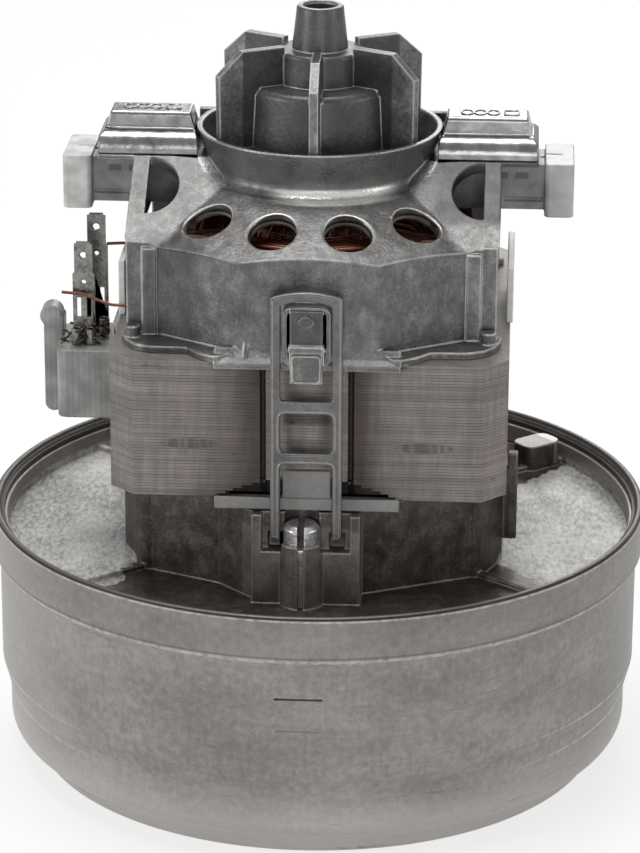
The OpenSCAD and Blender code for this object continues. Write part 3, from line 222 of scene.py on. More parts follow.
class Finish:
    """A material with a Principled shader, its object coordinates and a few common steps."""

    def __init__(self, name, colour, metallic=0.0, roughness=0.5, **fixed):
        self.material = bpy.data.materials.new(name)
        self.material.use_nodes = True
        self.tree = self.material.node_tree
        self.shader = self.tree.nodes["Principled BSDF"]
        self.where = node(self.tree, "ShaderNodeTexCoord", {}, out=3)
        self.set("Base Color", (*colour, 1))
        self.set("Metallic", metallic)
        self.set("Roughness", roughness)
        for key, value in fixed.items():
            self.set(key.replace("_", " "), value)

    def set(self, name, value):
        socket = self.shader.inputs[name]
        if isinstance(value, Sock):
            self.tree.links.new(value.out, socket)
        else:
            socket.default_value = value

    def axes(self):
        split = self.tree.nodes.new("ShaderNodeSeparateXYZ")
        self.tree.links.new(self.where.out, split.inputs[0])
        return [Sock(self.tree, s) for s in split.outputs]

    def noise(self, size_mm, detail=3.0, rough=0.5, stretch=(1, 1, 1), warp=0.0):
        """Noise with features about size_mm wide, 0 to 1; stretch makes them longer along an axis."""
        squeeze = tuple(1 / s for s in stretch)
        scaled = node(self.tree, "ShaderNodeMapping", {}, self.where, (0, 0, 0), (0, 0, 0), squeeze)
        per_metre = 1 / (size_mm * MM)
        return node(self.tree, "ShaderNodeTexNoise", {}, scaled, per_metre, detail, rough, 2.0, warp)

    def mix(self, factor, a, b):
        """Mixes two colours, each a socket or a linear RGB triple."""
        a, b = (v if isinstance(v, Sock) else (*v, 1) for v in (a, b))
        return node(self.tree, "ShaderNodeMix", {"data_type": "RGBA"}, factor, a, b)

    def ramp(self, factor, *stops):
        return node(self.tree, "ShaderNodeValToRGB", {"stops": stops}, factor)

    def rounded(self, radius_mm):
        """The normal of the surface as if its edges were rounded."""
        return node(self.tree, "ShaderNodeBevel", {"samples": 4}, radius_mm * MM)

    def edges(self, radius_mm):
        """1 on sharp edges, 0 on flats: a bevelled normal leans away from the true one there."""
        flat = node(self.tree, "ShaderNodeNewGeometry", {}, out=1)
        both = self.rounded(radius_mm), flat
        agree = node(self.tree, "ShaderNodeVectorMath", {"operation": "DOT_PRODUCT"}, *both, out=0)
        return (1 - agree).step(0.004, 0.09)

    def bump(self, height, depth_mm, edge_mm):
        """Feeds a height, 0 to 1, to the normal; edge_mm also rounds the look of sharp edges."""
        n = self.tree.nodes.new("ShaderNodeBump")
        n.inputs["Distance"].default_value = depth_mm * MM
        n.inputs["Strength"].default_value = 1.0
        self.tree.links.new(height.out, n.inputs["Height"])
        self.tree.links.new(self.rounded(edge_mm).out, n.inputs["Normal"])
        self.tree.links.new(n.outputs[0], self.shader.inputs["Normal"])

    def report(self):
        print(self.material.name, "has", len(self.tree.nodes), "nodes")


# %% [markdown]
# ## The can's sheet
# The fan can is deep-drawn from zinc-coated sheet. The sheet has a fine mottle, wide soft smudges, a
# few level scuffs where it slid over the die, and faint upright marks. Stretched noise gives the scuffs
# and the marks their direction. The left side is painted paler, as painted light from the left, and the
# foot too, as painted light bounced up from the floor.

# %% Can sheet
can_sheet = Finish("can_sheet", srgb(138, 135, 131), metallic=0.6, roughness=0.5)
scuffs = can_sheet.noise(1.3, stretch=(18, 18, 1), detail=3, rough=0.6)
streaks = can_sheet.noise(0.9, stretch=(1, 1, 14), detail=2)
smudge = can_sheet.noise(20, stretch=(1.4, 1.4, 0.6), detail=4, rough=0.6)
mottle = can_sheet.noise(1.6, detail=4, rough=0.7)
can_x, can_y, can_z = can_sheet.axes()
can_cloud = mottle * 0.42 + smudge * 0.4 + streaks * 0.08 + scuffs * 0.1
can_plain = can_sheet.ramp(can_cloud, (0.4, srgb(116, 113, 110)), (0.5, srgb(133, 130, 126)),
                           (0.6, srgb(150, 147, 143)))
# painted light: the left side is made paler as if lit from the left, the foot as if lit by the floor
can_lit_left = can_sheet.mix((1 - can_x.above(-66, 26)) * 0.3, can_plain, srgb(188, 184, 179))
can_lit_foot = can_sheet.mix((1 - can_z.above(2, 18)) * 0.6, can_lit_left, srgb(200, 196, 191))
scuff_mask = scuffs.step(0.6, 0.7) * mottle.step(0.4, 0.6) * 0.5
can_scuffed = can_sheet.mix(scuff_mask, can_lit_foot, srgb(84, 80, 77))
can_sheet.set("Roughness", smudge * 0.3 + mottle * 0.2 + 0.2)
can_sheet.bump(scuffs * 0.4 + streaks * 0.1 + mottle * 0.5, 0.08, edge_mm=0.3)
can_sheet.report()

# %% [markdown]
# The wall steps in and out. A painted highlight runs along each step, the middle two only at the
# sides, and the sharp edges are made bright, partly as wear and partly as painted highlight. The band
# under the rim is darker, with a painted soft shadow along its lower edge. The rolled rim is drawn
# dark, except for its rounded top. All of these follow the height or the distance from the shaft.

# %% Can rim, band and steps
CAN_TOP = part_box("fan_can")[1][2] / MM
RIM_Z, BAND_Z = CAN_TOP - 0.7, CAN_TOP - 9.5
RIM_IN, RIM_WIDE = 70 * MM, 2 * MM
rim_top = can_z.above(RIM_Z, 0.2)
rim_tone = can_sheet.ramp((across(can_x, can_y) - RIM_IN) / RIM_WIDE, (0.3, srgb(46, 43, 41)),
                          (0.45, srgb(98, 93, 89)), (0.75, srgb(98, 93, 89)), (0.88, srgb(34, 32, 31)))
can_banded = can_sheet.mix(can_z.above(BAND_Z, 0.3) * 0.22, can_scuffed, srgb(104, 101, 98))
can_rimmed = can_sheet.mix(rim_top * 0.95, can_banded, rim_tone)
can_shaded = can_sheet.mix(can_z.near(BAND_Z + 0.4, 0.1, 0.3) * 0.4, can_rimmed, srgb(70, 67, 65))
on_sides = 1 - can_y.size().above(20, 40)
# Height and width of each painted highlight line in millimetres, and how bright it is
STEPS = ((56.4, 0.3, 0.6), (47.4, 0.7, 0.5), (21.9, 0.4, on_sides), (15.7, 0.4, on_sides), (5.4, 0.6, 0.9))
step_highlights = 0.0
for height, wide, share in STEPS:
    step_highlights = can_z.near(height, wide / 4, wide * 3 / 4) * share + step_highlights
# painted highlight along the steps; the sharp edges are made bright as wear and painted highlight
rub_and_highlight_share = (1 - rim_top) * (mottle.step(0.3, 0.62) * 0.7 + 0.1)
can_rub_and_highlight = ((can_sheet.edges(0.5) * 0.6 + step_highlights) * rub_and_highlight_share).clamp()
can_sheet.set("Base Color", can_sheet.mix(can_rub_and_highlight, can_shaded, srgb(212, 209, 205)))
can_sheet.report()

# %% [markdown]
# ## The castings
# Both brackets are die cast. The skin of such a casting is dull and blotchy, and its edges are painted
# brighter, partly as wear from handling and partly as painted highlight. One function makes both skins:
# three noises of different sizes set the tone, and the mask of sharp edges lays the bright metal over it.

# %% Casting skin


def casting(name, dark, mid, light, edge, rub_and_highlight_gain=0.9):
    """A cast skin; gives the finish, its base colour and its blotches for more layers."""
    cast = Finish(name, mid, metallic=0.75, roughness=0.5)
    blotch = cast.noise(6, detail=5, rough=0.65)
    flow = cast.noise(2.4, detail=4, rough=0.6, stretch=(1, 1, 1.6), warp=0.4)
    grain = cast.noise(0.6, detail=2)
    tone = blotch * 0.42 + flow * 0.36 + grain * 0.22
    base = cast.ramp(tone, (0.36, dark), (0.5, mid), (0.64, light))
    # sharp edges made bright, partly as wear and partly as painted highlight
    edge_rub_and_highlight = cast.edges(0.5) * (flow * rub_and_highlight_gain + 0.3)
    skin_with_bright_edges = cast.mix(edge_rub_and_highlight.clamp(), base, edge)
    cast.set("Roughness", blotch * 0.4 + grain * 0.12 + 0.18)
    cast.bump(flow * 0.5 + grain * 0.35 + blotch * 0.15, 0.2, edge_mm=0.45)
    cast.report()
    return cast, skin_with_bright_edges, blotch


upper_cast, upper_skin, upper_blotch = casting(
    "upper_casting", srgb(76, 75, 74), srgb(100, 99, 98), srgb(132, 131, 129), srgb(224, 223, 220), 1.5)
lower_cast, lower_skin, _ = casting(
    "lower_casting", srgb(60, 55, 52), srgb(84, 78, 75), srgb(116, 110, 106), srgb(190, 185, 181))

# %% [markdown]
# On the upper bracket, the funnel is paler than the roof, and the fillet at its foot carries a painted
# highlight at the front and back, where it is also smoother. The ends of the roof, the left of the skirt
# and the tongue are darkened as painted shade, and the middle of the roof is darker too. Masks on the
# height, the width and the distance from the shaft say where each of them is.

# %% Upper bracket: painted shade and highlight
ROOF_Z, FUNNEL_Z, FUNNEL_R = 126.0, 133.5, 26.8
ux, uy, uz = upper_cast.axes()
from_shaft = across(ux, uy)
funnel_mask = uz.above(FUNNEL_Z, 1.5) * (1 - from_shaft.above(FUNNEL_R, 0.7))
# painted highlight on the fillet at the foot of the funnel
fillet_low, fillet_high = uz.above(FUNNEL_Z - 2.2, 0.6), 1 - uz.above(FUNNEL_Z - 0.4, 1.1)
fillet_highlight_mask = fillet_low * fillet_high * (1 - from_shaft.above(FUNNEL_R + 2.7, 2)) * ux.near(4, 6, 9)
# painted shade: the roof ends, the left of the skirt and the tongue are darkened; the roof middle is darker
# too
roof_end_shade = (ux.above(22, 5) + (1 - ux.above(-27, 5)) * 0.35) * uz.above(ROOF_Z + 0.2, 2)
left_skirt_shade = (1 - ux.above(-26, 6)) * ux.above(-35.5, 1.5) * (1 - uz.above(ROOF_Z - 1.5, 1.5)) * 0.5
roof_middle = ux.near(3, 8, 12) * uz.above(ROOF_Z + 0.2, 1.8) * 0.3
tongue_shade = ux.near(0, 3.5, 0.2) * uy.size().above(45.7, 0.2) * uz.above(107.4, 0.2) * 0.7
painted_shade_mask = (roof_end_shade * 0.85 + left_skirt_shade + tongue_shade + roof_middle).clamp()
upper_shaded = upper_cast.mix(painted_shade_mask, upper_skin, srgb(64, 63, 62))
upper_pale = upper_cast.mix(funnel_mask * 0.45, upper_shaded, srgb(146, 145, 144))
# the fillet gets a painted highlight
fillet_highlight = (fillet_highlight_mask * (upper_blotch * 1.2 + 0.5)).clamp()
upper_highlit = upper_cast.mix(fillet_highlight, upper_pale, srgb(250, 249, 246))
upper_rough = upper_blotch * 0.45 + 0.2 - funnel_mask * 0.12 - fillet_highlight_mask * 0.2
upper_cast.set("Roughness", upper_rough.clamp())
upper_cast.report()

# %% [markdown]
# The eight air holes get painted shade inside and a thin painted highlight round the rim. They lie on a
# ring round the shaft, the same in each quarter, so two azimuths and the size of X and Y place them all.

# %% Upper bracket: air holes
HOLE_RING, HOLE_R, AZIMUTHS = 35 * MM, 5.0, (13, 38.6)
# painted shade inside each hole, painted highlight round its rim
hole_rim_highlights, hole_wall_shade = 0.0, 0.0
for azimuth in AZIMUTHS:
    off_x = ux.size() - HOLE_RING * math.sin(math.radians(azimuth))
    off_y = uy.size() - HOLE_RING * math.cos(math.radians(azimuth))
    to_hole = across(off_x, off_y)
    hole_wall_shade = (1 - to_hole.above(HOLE_R, 0.1)) + hole_wall_shade
    hole_rim_highlights = to_hole.near(HOLE_R + 0.22, 0.04, 0.16) + hole_rim_highlights
on_roof = uz.above(ROOF_Z, 1)
upper_hole_shaded = upper_cast.mix((hole_wall_shade * on_roof).clamp() * 0.85, upper_highlit, srgb(44, 40, 38))
hole_rim_highlight_mask = ((hole_rim_highlights * on_roof).clamp() * (upper_blotch * 0.8 + 0.25)).clamp()
upper_cast.set("Base Color", upper_cast.mix(hole_rim_highlight_mask, upper_hole_shaded, srgb(214, 213, 210)))
print("air holes:", 4 * len(AZIMUTHS))

# %% [markdown]
# The deck of the lower bracket is paler on both sides of the motor, up to a ragged border.
# The border is a slanting line moved about by noise, and the pale skin is less metallic.

# %% Lower bracket: pale deck
DECK_LOW, DECK_HIGH, HOUSING_R = 49.6, 51.5, 40.5
lx, ly, lz = lower_cast.axes()
ragged = (lower_cast.noise(3.2, detail=4, rough=0.65) - 0.5) * (10 * MM)
right_side = (lx.size() - ly.size() * 0.75 + ragged).above(24.5, 0.4) * lx.above(0, 1)
left_side = (lx.size() - ly.size() * 0.25 + ragged).above(31.2, 0.4) * (1 - lx.above(-1, 1))
deck_face = lz.above(DECK_LOW, 0.3) * (1 - lz.above(DECK_HIGH, 0.6))
lower_radius = across(lx, ly)
pale_deck_mask = (right_side + left_side) * deck_face * lower_radius.above(HOUSING_R, 0.7)
pits = lower_cast.noise(1.0, detail=4, rough=0.75, stretch=(1, 2.6, 1))
cloud = lower_cast.noise(12, detail=3, stretch=(1, 2, 1))
pale_deck_tone = lower_cast.ramp(pits * 0.6 + cloud * 0.4, (0.41, srgb(116, 115, 112)), (0.5, srgb(162, 161, 158)),
                          (0.59, srgb(188, 187, 184)))
lower_cast.set("Metallic", 0.7 - pale_deck_mask * 0.6)
lower_cast.report()

# %% [markdown]
# Three places are lighter than the skin: the pocket round the spring pin, the upstand that runs along
# the can's rim, and the flat top of the boss at the back right.

# %% Lower bracket: pocket, upstand and boss
UPSTAND_R, BOSS_Z, PIN_X = 65.5, 55.5, -0.9
pocket_height = lz.above(50.3, 0.3) * (1 - lz.above(66, 1))
pocket = lx.near(PIN_X, 12.5, 0.5) * (1 - ly.above(-40.5, 1)) * pocket_height * 0.35
upstand = lower_radius.above(UPSTAND_R, 0.5) * lz.above(50.3, 0.6) * (lx.above(-1, 2) * 0.45 + 0.4)
boss_top = lz.above(BOSS_Z, 0.4) * lx.above(40, 1) * ly.above(30, 1) * 0.35
lower_pocket = lower_cast.mix(pocket, lower_skin, srgb(140, 134, 130))
lower_ring = lower_cast.mix(upstand, lower_pocket, srgb(172, 165, 159))
lower_pale_deck = lower_cast.mix(pale_deck_mask, lower_ring, pale_deck_tone)
lower_cast.set("Base Color", lower_cast.mix(boss_top, lower_pale_deck, srgb(176, 175, 172)))
lower_cast.report()

# %% [markdown]
# ## Small metal, plastic and wire
# The smaller pieces need short recipes of the same kind: a base tone, two noises that vary it, a
# roughness that follows them, and a bump at the scale of the real grain. One function is enough, and
# the lines under it read like a list of what the pieces are made of.

# %% Plain finishes


def speckled(name, tone, spread, size_mm, roughness, metallic=0.0, depth_mm=0.05, stretch=(1, 1, 1),
             edge_mm=0.15, edge_rub_and_highlight=0.0, **fixed):
    """A plain finish whose tone, roughness and surface vary with noise."""
    f = Finish(name, tone, metallic=metallic, roughness=roughness, **fixed)
    wide = f.noise(size_mm * 6, detail=3)
    fine = f.noise(size_mm, detail=3, stretch=stretch)
    amount = wide * 0.5 + fine * 0.5
    dark = tuple(c * (1 - spread) for c in tone)
    light = tuple(min(1, c * (1 + spread)) for c in tone)
    colour = f.ramp(amount, (0.36, dark), (0.5, tone), (0.64, light))
    # bright edges: painted highlight, with some wear
    if edge_rub_and_highlight:
        colour = f.mix(f.edges(0.35) * edge_rub_and_highlight, colour, srgb(214, 213, 212))
    f.set("Base Color", colour)
    f.set("Roughness", amount * 0.24 + (roughness - 0.12))
    f.bump(fine, depth_mm, edge_mm=edge_mm)
    return f


white_plastic = speckled("white_plastic", srgb(212, 213, 210), 0.1, 1.4, 0.42, depth_mm=0.03)
bar_plastic = speckled("bar_plastic", srgb(128, 127, 125), 0.14, 1.4, 0.5, depth_mm=0.03)
# painted highlight along the edges of the strap and the pin
strap_steel = speckled("strap_steel", srgb(100, 99, 98), 0.25, 1.0, 0.36, metallic=0.8, edge_mm=0.2, edge_rub_and_highlight=0.35)
bright_sheet = speckled("bright_sheet", srgb(140, 139, 138), 0.3, 2.6, 0.24, metallic=0.95, depth_mm=0.11,
                        edge_mm=0.3)
pin_steel = speckled("pin_steel", srgb(204, 202, 204), 0.25, 0.7, 0.25, metallic=0.85, edge_rub_and_highlight=0.6)
plated_steel = speckled("plated_steel", srgb(186, 186, 184), 0.2, 0.7, 0.25, metallic=0.95)
bearing_steel = speckled("bearing_steel", srgb(206, 207, 209), 0.1, 0.6, 0.18, metallic=1.0)
shaft_steel = speckled("shaft_steel", srgb(184, 185, 188), 0.15, 0.6, 0.22, metallic=1.0, stretch=(8, 8, 1))
impeller_sheet = speckled("impeller_sheet", srgb(180, 180, 178), 0.15, 0.8, 0.35, metallic=0.95)
brass_sheet = speckled("brass_sheet", srgb(118, 102, 74), 0.2, 0.8, 0.34, metallic=0.95)
tinned_sheet = speckled("tinned_sheet", srgb(120, 119, 115), 0.45, 0.7, 0.28, metallic=0.9)
bronze = speckled("bronze_contacts", srgb(70, 62, 48), 0.3, 0.7, 0.34, metallic=0.9)
carbon = speckled("carbon", srgb(48, 47, 47), 0.25, 0.5, 0.6, depth_mm=0.08)
rubber = speckled("rubber", srgb(50, 47, 46), 0.3, 0.8, 0.5)
liner_sheet = speckled("liner_sheet", srgb(226, 220, 204), 0.1, 1.0, 0.6)
copper_bars = speckled("copper_bars", srgb(168, 104, 66), 0.2, 0.8, 0.32, metallic=0.95)
enamel = speckled("enamelled_copper", srgb(104, 52, 30), 0.5, 0.9, 0.3, metallic=0.55, Coat_Weight=0.4)
print("finishes so far:", len(bpy.data.materials))

# %% [markdown]
# The fan is moulded in a dark metal-filled plastic: dull faces with a fine grain, and edges painted bright
# as painted highlight. Its hub is darker than its blades, and a mask on the distance from the shaft tells
# them apart.

# %% Fan finish
HUB_R = 18.4
fan_plastic = Finish("fan_plastic", srgb(88, 87, 86), metallic=0.45, roughness=0.42)
fan_wide = fan_plastic.noise(8, detail=4, rough=0.6)
fan_fine = fan_plastic.noise(0.9, detail=3)
fan_all = fan_plastic.ramp(fan_wide * 0.6 + fan_fine * 0.4, (0.36, srgb(80, 79, 79)),
                           (0.5, srgb(110, 109, 108)), (0.64, srgb(144, 143, 142)))
fan_x, fan_y, _ = fan_plastic.axes()
fan_hub = 1 - across(fan_x, fan_y).above(HUB_R, 0.6)
fan_base = fan_plastic.mix(fan_hub * 0.75, fan_all, srgb(60, 59, 59))
# painted highlight along the edges of the fan
fan_edge_highlight = fan_plastic.edges(0.5) * (fan_wide * 1.5 + 0.4)
fan_plastic.set("Base Color", fan_plastic.mix(fan_edge_highlight.clamp(), fan_base, srgb(208, 206, 204)))
fan_plastic.set("Roughness", fan_fine * 0.2 + fan_wide * 0.3 + 0.14)
fan_plastic.bump(fan_fine * 0.7 + fan_wide * 0.3, 0.08, edge_mm=0.35)
fan_plastic.report()

# %% [markdown]
# The terminal block is a pale plastic with fine upright ribs on its faces. The ribs are too fine to be
# worth a mesh, so a sine wave along X and Y draws them in the tone and the bump.

# %% Terminal block finish
RIB_PITCH = 1.2 * MM
block_plastic = Finish("block_plastic", srgb(130, 131, 129), roughness=0.4)
block_x, block_y, _ = block_plastic.axes()
block_ribs = ((block_x + block_y) * (2 * math.pi / RIB_PITCH)).wave() * 0.5 + 0.5
block_cloud = block_plastic.noise(6, detail=4)
block_plastic.set("Base Color", block_plastic.ramp(
    block_cloud * 0.94 + block_ribs * 0.06, (0.36, srgb(112, 113, 111)), (0.52, srgb(132, 133, 130)),
    (0.68, srgb(158, 159, 156))))
block_plastic.set("Roughness", block_cloud * 0.2 + 0.3)
block_plastic.bump(block_ribs, 0.02, edge_mm=0.3)
block_plastic.report()

# %% [markdown]
# The brush holders have a paler end cap, the right one less so as painted shade, and a greyer body,
# darkened as painted shade where the clamp shades it. Each side of the body shows a wide and a narrow
# slot, which are small, so they are drawn in the colour, dark as painted shade in their hollows.

# %% Brush holder finish
CAP_X, SIDE_Y, SLOT_Z = 48.3, 6.0, 133.1
holder_plastic = Finish("holder_plastic", srgb(176, 177, 174), roughness=0.4)
hx, hy, hz = holder_plastic.axes()
holder_cloud = holder_plastic.noise(4, detail=4)
# painted shade: the body, shaded by the clamp, and the right cap are darker; the slots are dark as painted
# shade
body_shade_tone = holder_plastic.ramp(holder_cloud, (0.36, srgb(104, 103, 101)), (0.64, srgb(140, 140, 137)))
cap_left = holder_plastic.ramp(holder_cloud, (0.36, srgb(166, 167, 164)), (0.64, srgb(200, 201, 198)))
cap_tone_right_shaded = holder_plastic.mix(hx.above(0, 1) * 0.4, cap_left, srgb(128, 129, 126))
holder_tone_shaded = holder_plastic.mix(hx.size().above(CAP_X, 0.3), body_shade_tone, cap_tone_right_shaded)
slots_along = hx.size().near(43.5, 1.3, 0.2) + hx.size().near(39.9, 0.6, 0.2)
side_slot_shade = slots_along * hz.near(SLOT_Z, 0.6, 0.2) * hy.size().above(SIDE_Y, 0.2) * 0.75
holder_plastic.set("Base Color", holder_plastic.mix(side_slot_shade, holder_tone_shaded, srgb(56, 54, 52)))
holder_plastic.set("Roughness", holder_cloud * 0.2 + 0.28)
holder_plastic.bump(holder_cloud, 0.05, edge_mm=0.3)
holder_plastic.report()

# %% [markdown]
# The stator is a pack of stamped sheets. Its sides show the cut edges as fine level lines of uneven
# tone, varnish that is brown in places, and stains. The sheets themselves are real geometry, made
# further down, so the material only adds what differs from sheet to sheet.

# %% Lamination finish
lamination = Finish("laminations", srgb(122, 117, 113), metallic=0.5, roughness=0.5)
sheet_tone = lamination.noise(0.9, detail=2, stretch=(60, 60, 1))
wear = lamination.noise(1.2, detail=3, stretch=(1, 1, 7))
varnish = lamination.noise(9, detail=5, rough=0.65)
lam_tone = lamination.ramp(sheet_tone * 0.35 + wear * 0.3 + varnish * 0.35, (0.36, srgb(106, 101, 98)),
                           (0.5, srgb(122, 117, 113)), (0.62, srgb(140, 135, 131)))
stain = lamination.noise(7, detail=4, rough=0.6, stretch=(1, 1, 0.35)).step(0.66, 0.74) * 0.45
lamination.set("Roughness", varnish * 0.3 + 0.34)
lamination.bump(sheet_tone * 0.7 + wear * 0.3, 0.06, edge_mm=0.12)
lamination.report()

# %% [markdown]
# Some marks have their own place: a rusty line beside each upright groove, painted shade inside the
# grooves and the shallow cut under the stack, two spots of wear, and a painted shadow cast by the strap,
# which shows in its middle window.

# %% Lamination marks
STACK_LOW, STACK_TOP = (corner[2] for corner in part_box("stator_stack"))
STACK_X, STACK_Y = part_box("stator_stack")[1][:2]
NOTCH_X, LENS_H, LENS_X = 9.2 * MM, 4.6 * MM, 19.6 * MM
SPOT_X, SPOT_Z, SPOT_WIDE, SPOT_HIGH = 24.5 * MM, 84.3 * MM, 6.667 * MM, 1.316 * MM
px, py, pz = lamination.axes()
lam_side = py.size() - STACK_Y
cut_z = (STACK_LOW + LENS_H) / MM + 0.1
# painted shade inside the shallow cut and the grooves
in_cut = (1 - lam_side.above(-0.6, 0.3)) * (1 - pz.above(cut_z, 0.2)) * px.near(0, LENS_X / MM, 0.4)
in_groove = px.size().near(NOTCH_X / MM, 0.55, 0.2) * (1 - lam_side.above(-0.4, 0.3))
by_groove = px.size().near(NOTCH_X / MM + 1.2, 0.4, 1.4) * lam_side.above(-1, 0.5)
rust = by_groove * wear.step(0.4, 0.62) * 0.5
spot_x, spot_z = (px.size() - SPOT_X) / SPOT_WIDE, (pz - SPOT_Z) / SPOT_HIGH
spots = (1 - (spot_x * spot_x + spot_z * spot_z).step(0.6, 1.1)) * wear.step(0.35, 0.6) * 0.6
# painted shadow of the strap in its middle window
strap_shadow = px.near(0, 4.4, 1) * pz.above(88.4, 1.2) * (1 - pz.above(93.8, 0.8)) * 0.75
lam_stains_and_shadow = lamination.mix((stain + spots + strap_shadow).clamp(), lam_tone, srgb(66, 56, 52))
lam_rusty = lamination.mix((varnish.step(0.52, 0.7) * 0.2 + rust).clamp(), lam_stains_and_shadow, srgb(128, 92, 82))
# the recesses are darkened as painted shade
lam_recess_shade = (in_cut * 0.75 + in_groove).clamp()
lamination.set("Base Color", lamination.mix(lam_recess_shade, lam_rusty, srgb(44, 38, 36)))
lamination.report()

# %% [markdown]
# ## Dressing the CAD nodes
# Every node gets its finish from one table, so that a finish can be changed in one place. Nodes whose
# shape is already right keep their mesh as it is. The others get a finer copy further down.

# %% Finish per node
FINISHES = {
    can_sheet: ["fan_can", "stage_plate", "spacer_ring", "return_guide"],
    rubber: ["rim_gasket"],
    upper_cast: ["upper_bracket"],
    lower_cast: ["lower_bracket"],
    bearing_steel: ["lower_bearing_outer", "lower_bearing_balls", "lower_bearing_inner",
                    "upper_bearing_outer", "upper_bearing_balls", "upper_bearing_inner"],
    plated_steel: ["bearing_retainer", "retainer_screws", "impeller_washers", "shaft_nut",
                   "impeller_spacer", "bearing_spacer"],
    pin_steel: ["spring_pin"],
    lamination: ["stator_stack", "armature_core"],
    liner_sheet: ["slot_liners"],
    enamel: ["field_coil_front", "field_coil_back", "lead_wires", "armature_winding"],
    white_plastic: ["side_insulators"],
    holder_plastic: ["brush_holder_left", "brush_holder_right"],
    bar_plastic: ["insulator_bar_front", "insulator_bar_back"],
    block_plastic: ["terminal_block"],
    strap_steel: ["retaining_strap_front", "retaining_strap_back", "brush_spring_left",
                  "brush_spring_right"],
    bright_sheet: ["brush_clamp_left", "brush_clamp_right"],
    impeller_sheet: ["impeller_first", "impeller_second"],
    brass_sheet: ["brush_tube_left", "brush_tube_right"],
    carbon: ["carbon_brush_left", "carbon_brush_right"],
    tinned_sheet: ["terminal_tabs"],
    shaft_steel: ["shaft"],
    copper_bars: ["commutator"],
    fan_plastic: ["cooling_fan"],
}
FINISH_OF = {}
for finish, names in FINISHES.items():
    for name in names:
        FINISH_OF[name] = finish.material
        slots = frame["nodes"][name].data.materials
        for i in range(len(slots)):
            slots[i] = finish.material
print("finishes:", len(FINISHES), "nodes:", len(FINISH_OF))

# %% [markdown]
# ## Pieces that stand for a node
# A finer piece rides on the same body as the node it stands for, and takes its finish, so the motion
# stays the same. Its modifiers are baked, which leaves a plain mesh.

# %% Helpers for a piece
BODY_OF = {n: b for b, names in frame["record"]["behaviour"]["bodies"].items() for n in names}


def new_object(name, data):
    piece = bpy.data.objects.new(name, data)
    bpy.context.scene.collection.objects.link(piece)
    return piece


def evaluated_mesh(piece):
    """A plain mesh of the piece as it looks with its modifiers, or of a curve."""
    graph = bpy.context.evaluated_depsgraph_get()
    graph.update()
    return bpy.data.meshes.new_from_object(piece.evaluated_get(graph), preserve_all_data_layers=True,
                                           depsgraph=graph)


def bake(piece):
    """Applies the piece's modifiers by keeping the evaluated mesh."""
    mesh = evaluated_mesh(piece)
    piece.modifiers.clear()
    piece.data = mesh
    return piece


def stand_for(piece, name):
    """The piece takes the place of a node: its body and finish, and the node is hidden."""
    piece.data.materials.clear()
    piece.data.materials.append(FINISH_OF[name])
    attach(piece, BODY_OF[name])
    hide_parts(name)


def go_with(piece, name, finish):
    """The piece is a detail that is added to a node and rides with it."""
    piece.data.materials.append(finish.material)
    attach(piece, BODY_OF[name])


# %% [markdown]
# ## Rounded copies
# A CAD mesh is loose triangles with sharp edges. `merged` joins the corners of a copy and turns its
# flat triangles into faces. `soft` rounds the sharp edges with a Bevel modifier and weights the
# normals, so that each edge catches a thin line of light, as on the real pieces.

# %% Rounded copies
MERGE_WITHIN = 0.002 * MM
FLAT_DEG, SHARP_DEG = 0.4, 32
ROUND_MM = {
    "fan_can": 0.0, "upper_bracket": 0.22, "lower_bracket": 0.22, "cooling_fan": 0.0, "rim_gasket": 0.2,
    "spring_pin": 0.2, "brush_clamp_left": 0.3, "brush_clamp_right": 0.3, "brush_holder_left": 0.25,
    "brush_holder_right": 0.25, "terminal_block": 0.3, "terminal_tabs": 0.08, "side_insulators": 0.2,
    "insulator_bar_front": 0.25, "insulator_bar_back": 0.25,
}


def merged(name):
    """The node's mesh with its corners merged and its flat triangles joined into faces."""
    mesh = frame["nodes"][name].data.copy()
    work = bmesh.new()
    work.from_mesh(mesh)
    bmesh.ops.remove_doubles(work, verts=work.verts, dist=MERGE_WITHIN)
    bmesh.ops.dissolve_limit(work, angle_limit=math.radians(FLAT_DEG), verts=work.verts, edges=work.edges)
    work.to_mesh(mesh)
    work.free()
    return mesh


def soft(piece, round_mm):
    """Rounds the sharp edges of a piece, if it has a radius, and weights its normals."""
    sharp = math.radians(SHARP_DEG)
    if round_mm:
        bevel = piece.modifiers.new("round", "BEVEL")
        bevel.limit_method, bevel.angle_limit = "ANGLE", sharp
        bevel.width, bevel.segments, bevel.use_clamp_overlap = round_mm * MM, 2, False
    piece.data.shade_smooth()
    piece.data.set_sharp_from_angle(angle=sharp)
    weigh = piece.modifiers.new("weigh", "WEIGHTED_NORMAL")
    weigh.keep_sharp = True
    return bake(piece)


for name, round_mm in ROUND_MM.items():
    piece = soft(new_object(name + "_piece", merged(name)), round_mm)
    stand_for(piece, name)
    print(name, len(piece.data.polygons), "faces")

# %% [markdown]
# ## The laminated stack
# One sheet is drawn from its outline and its inner edge: the round bore, which opens into a coil
# slot on each side. The outer edge has two upright grooves at the front and back, and the lowest
# sheets have a wide shallow cut there as well.

# %% Outlines of a sheet
CORNER = 5.2 * MM
BORE, SLOT_IN, SLOT_OUT = 22.6 * MM, 25 * MM, 37.6 * MM
SLOT_DEG, TIP_DEG = 43, 20
NOTCH_W, NOTCH_D = 1.3 * MM, 1.1 * MM
LENS_DEEP = 3 * MM


def ring_arc(radius, start, end, steps):
    """Points of an arc round the shaft, between two angles in degrees."""
    angles = [math.radians(start + (end - start) * i / steps) for i in range(steps + 1)]
    return [(radius * math.cos(a), radius * math.sin(a)) for a in angles]


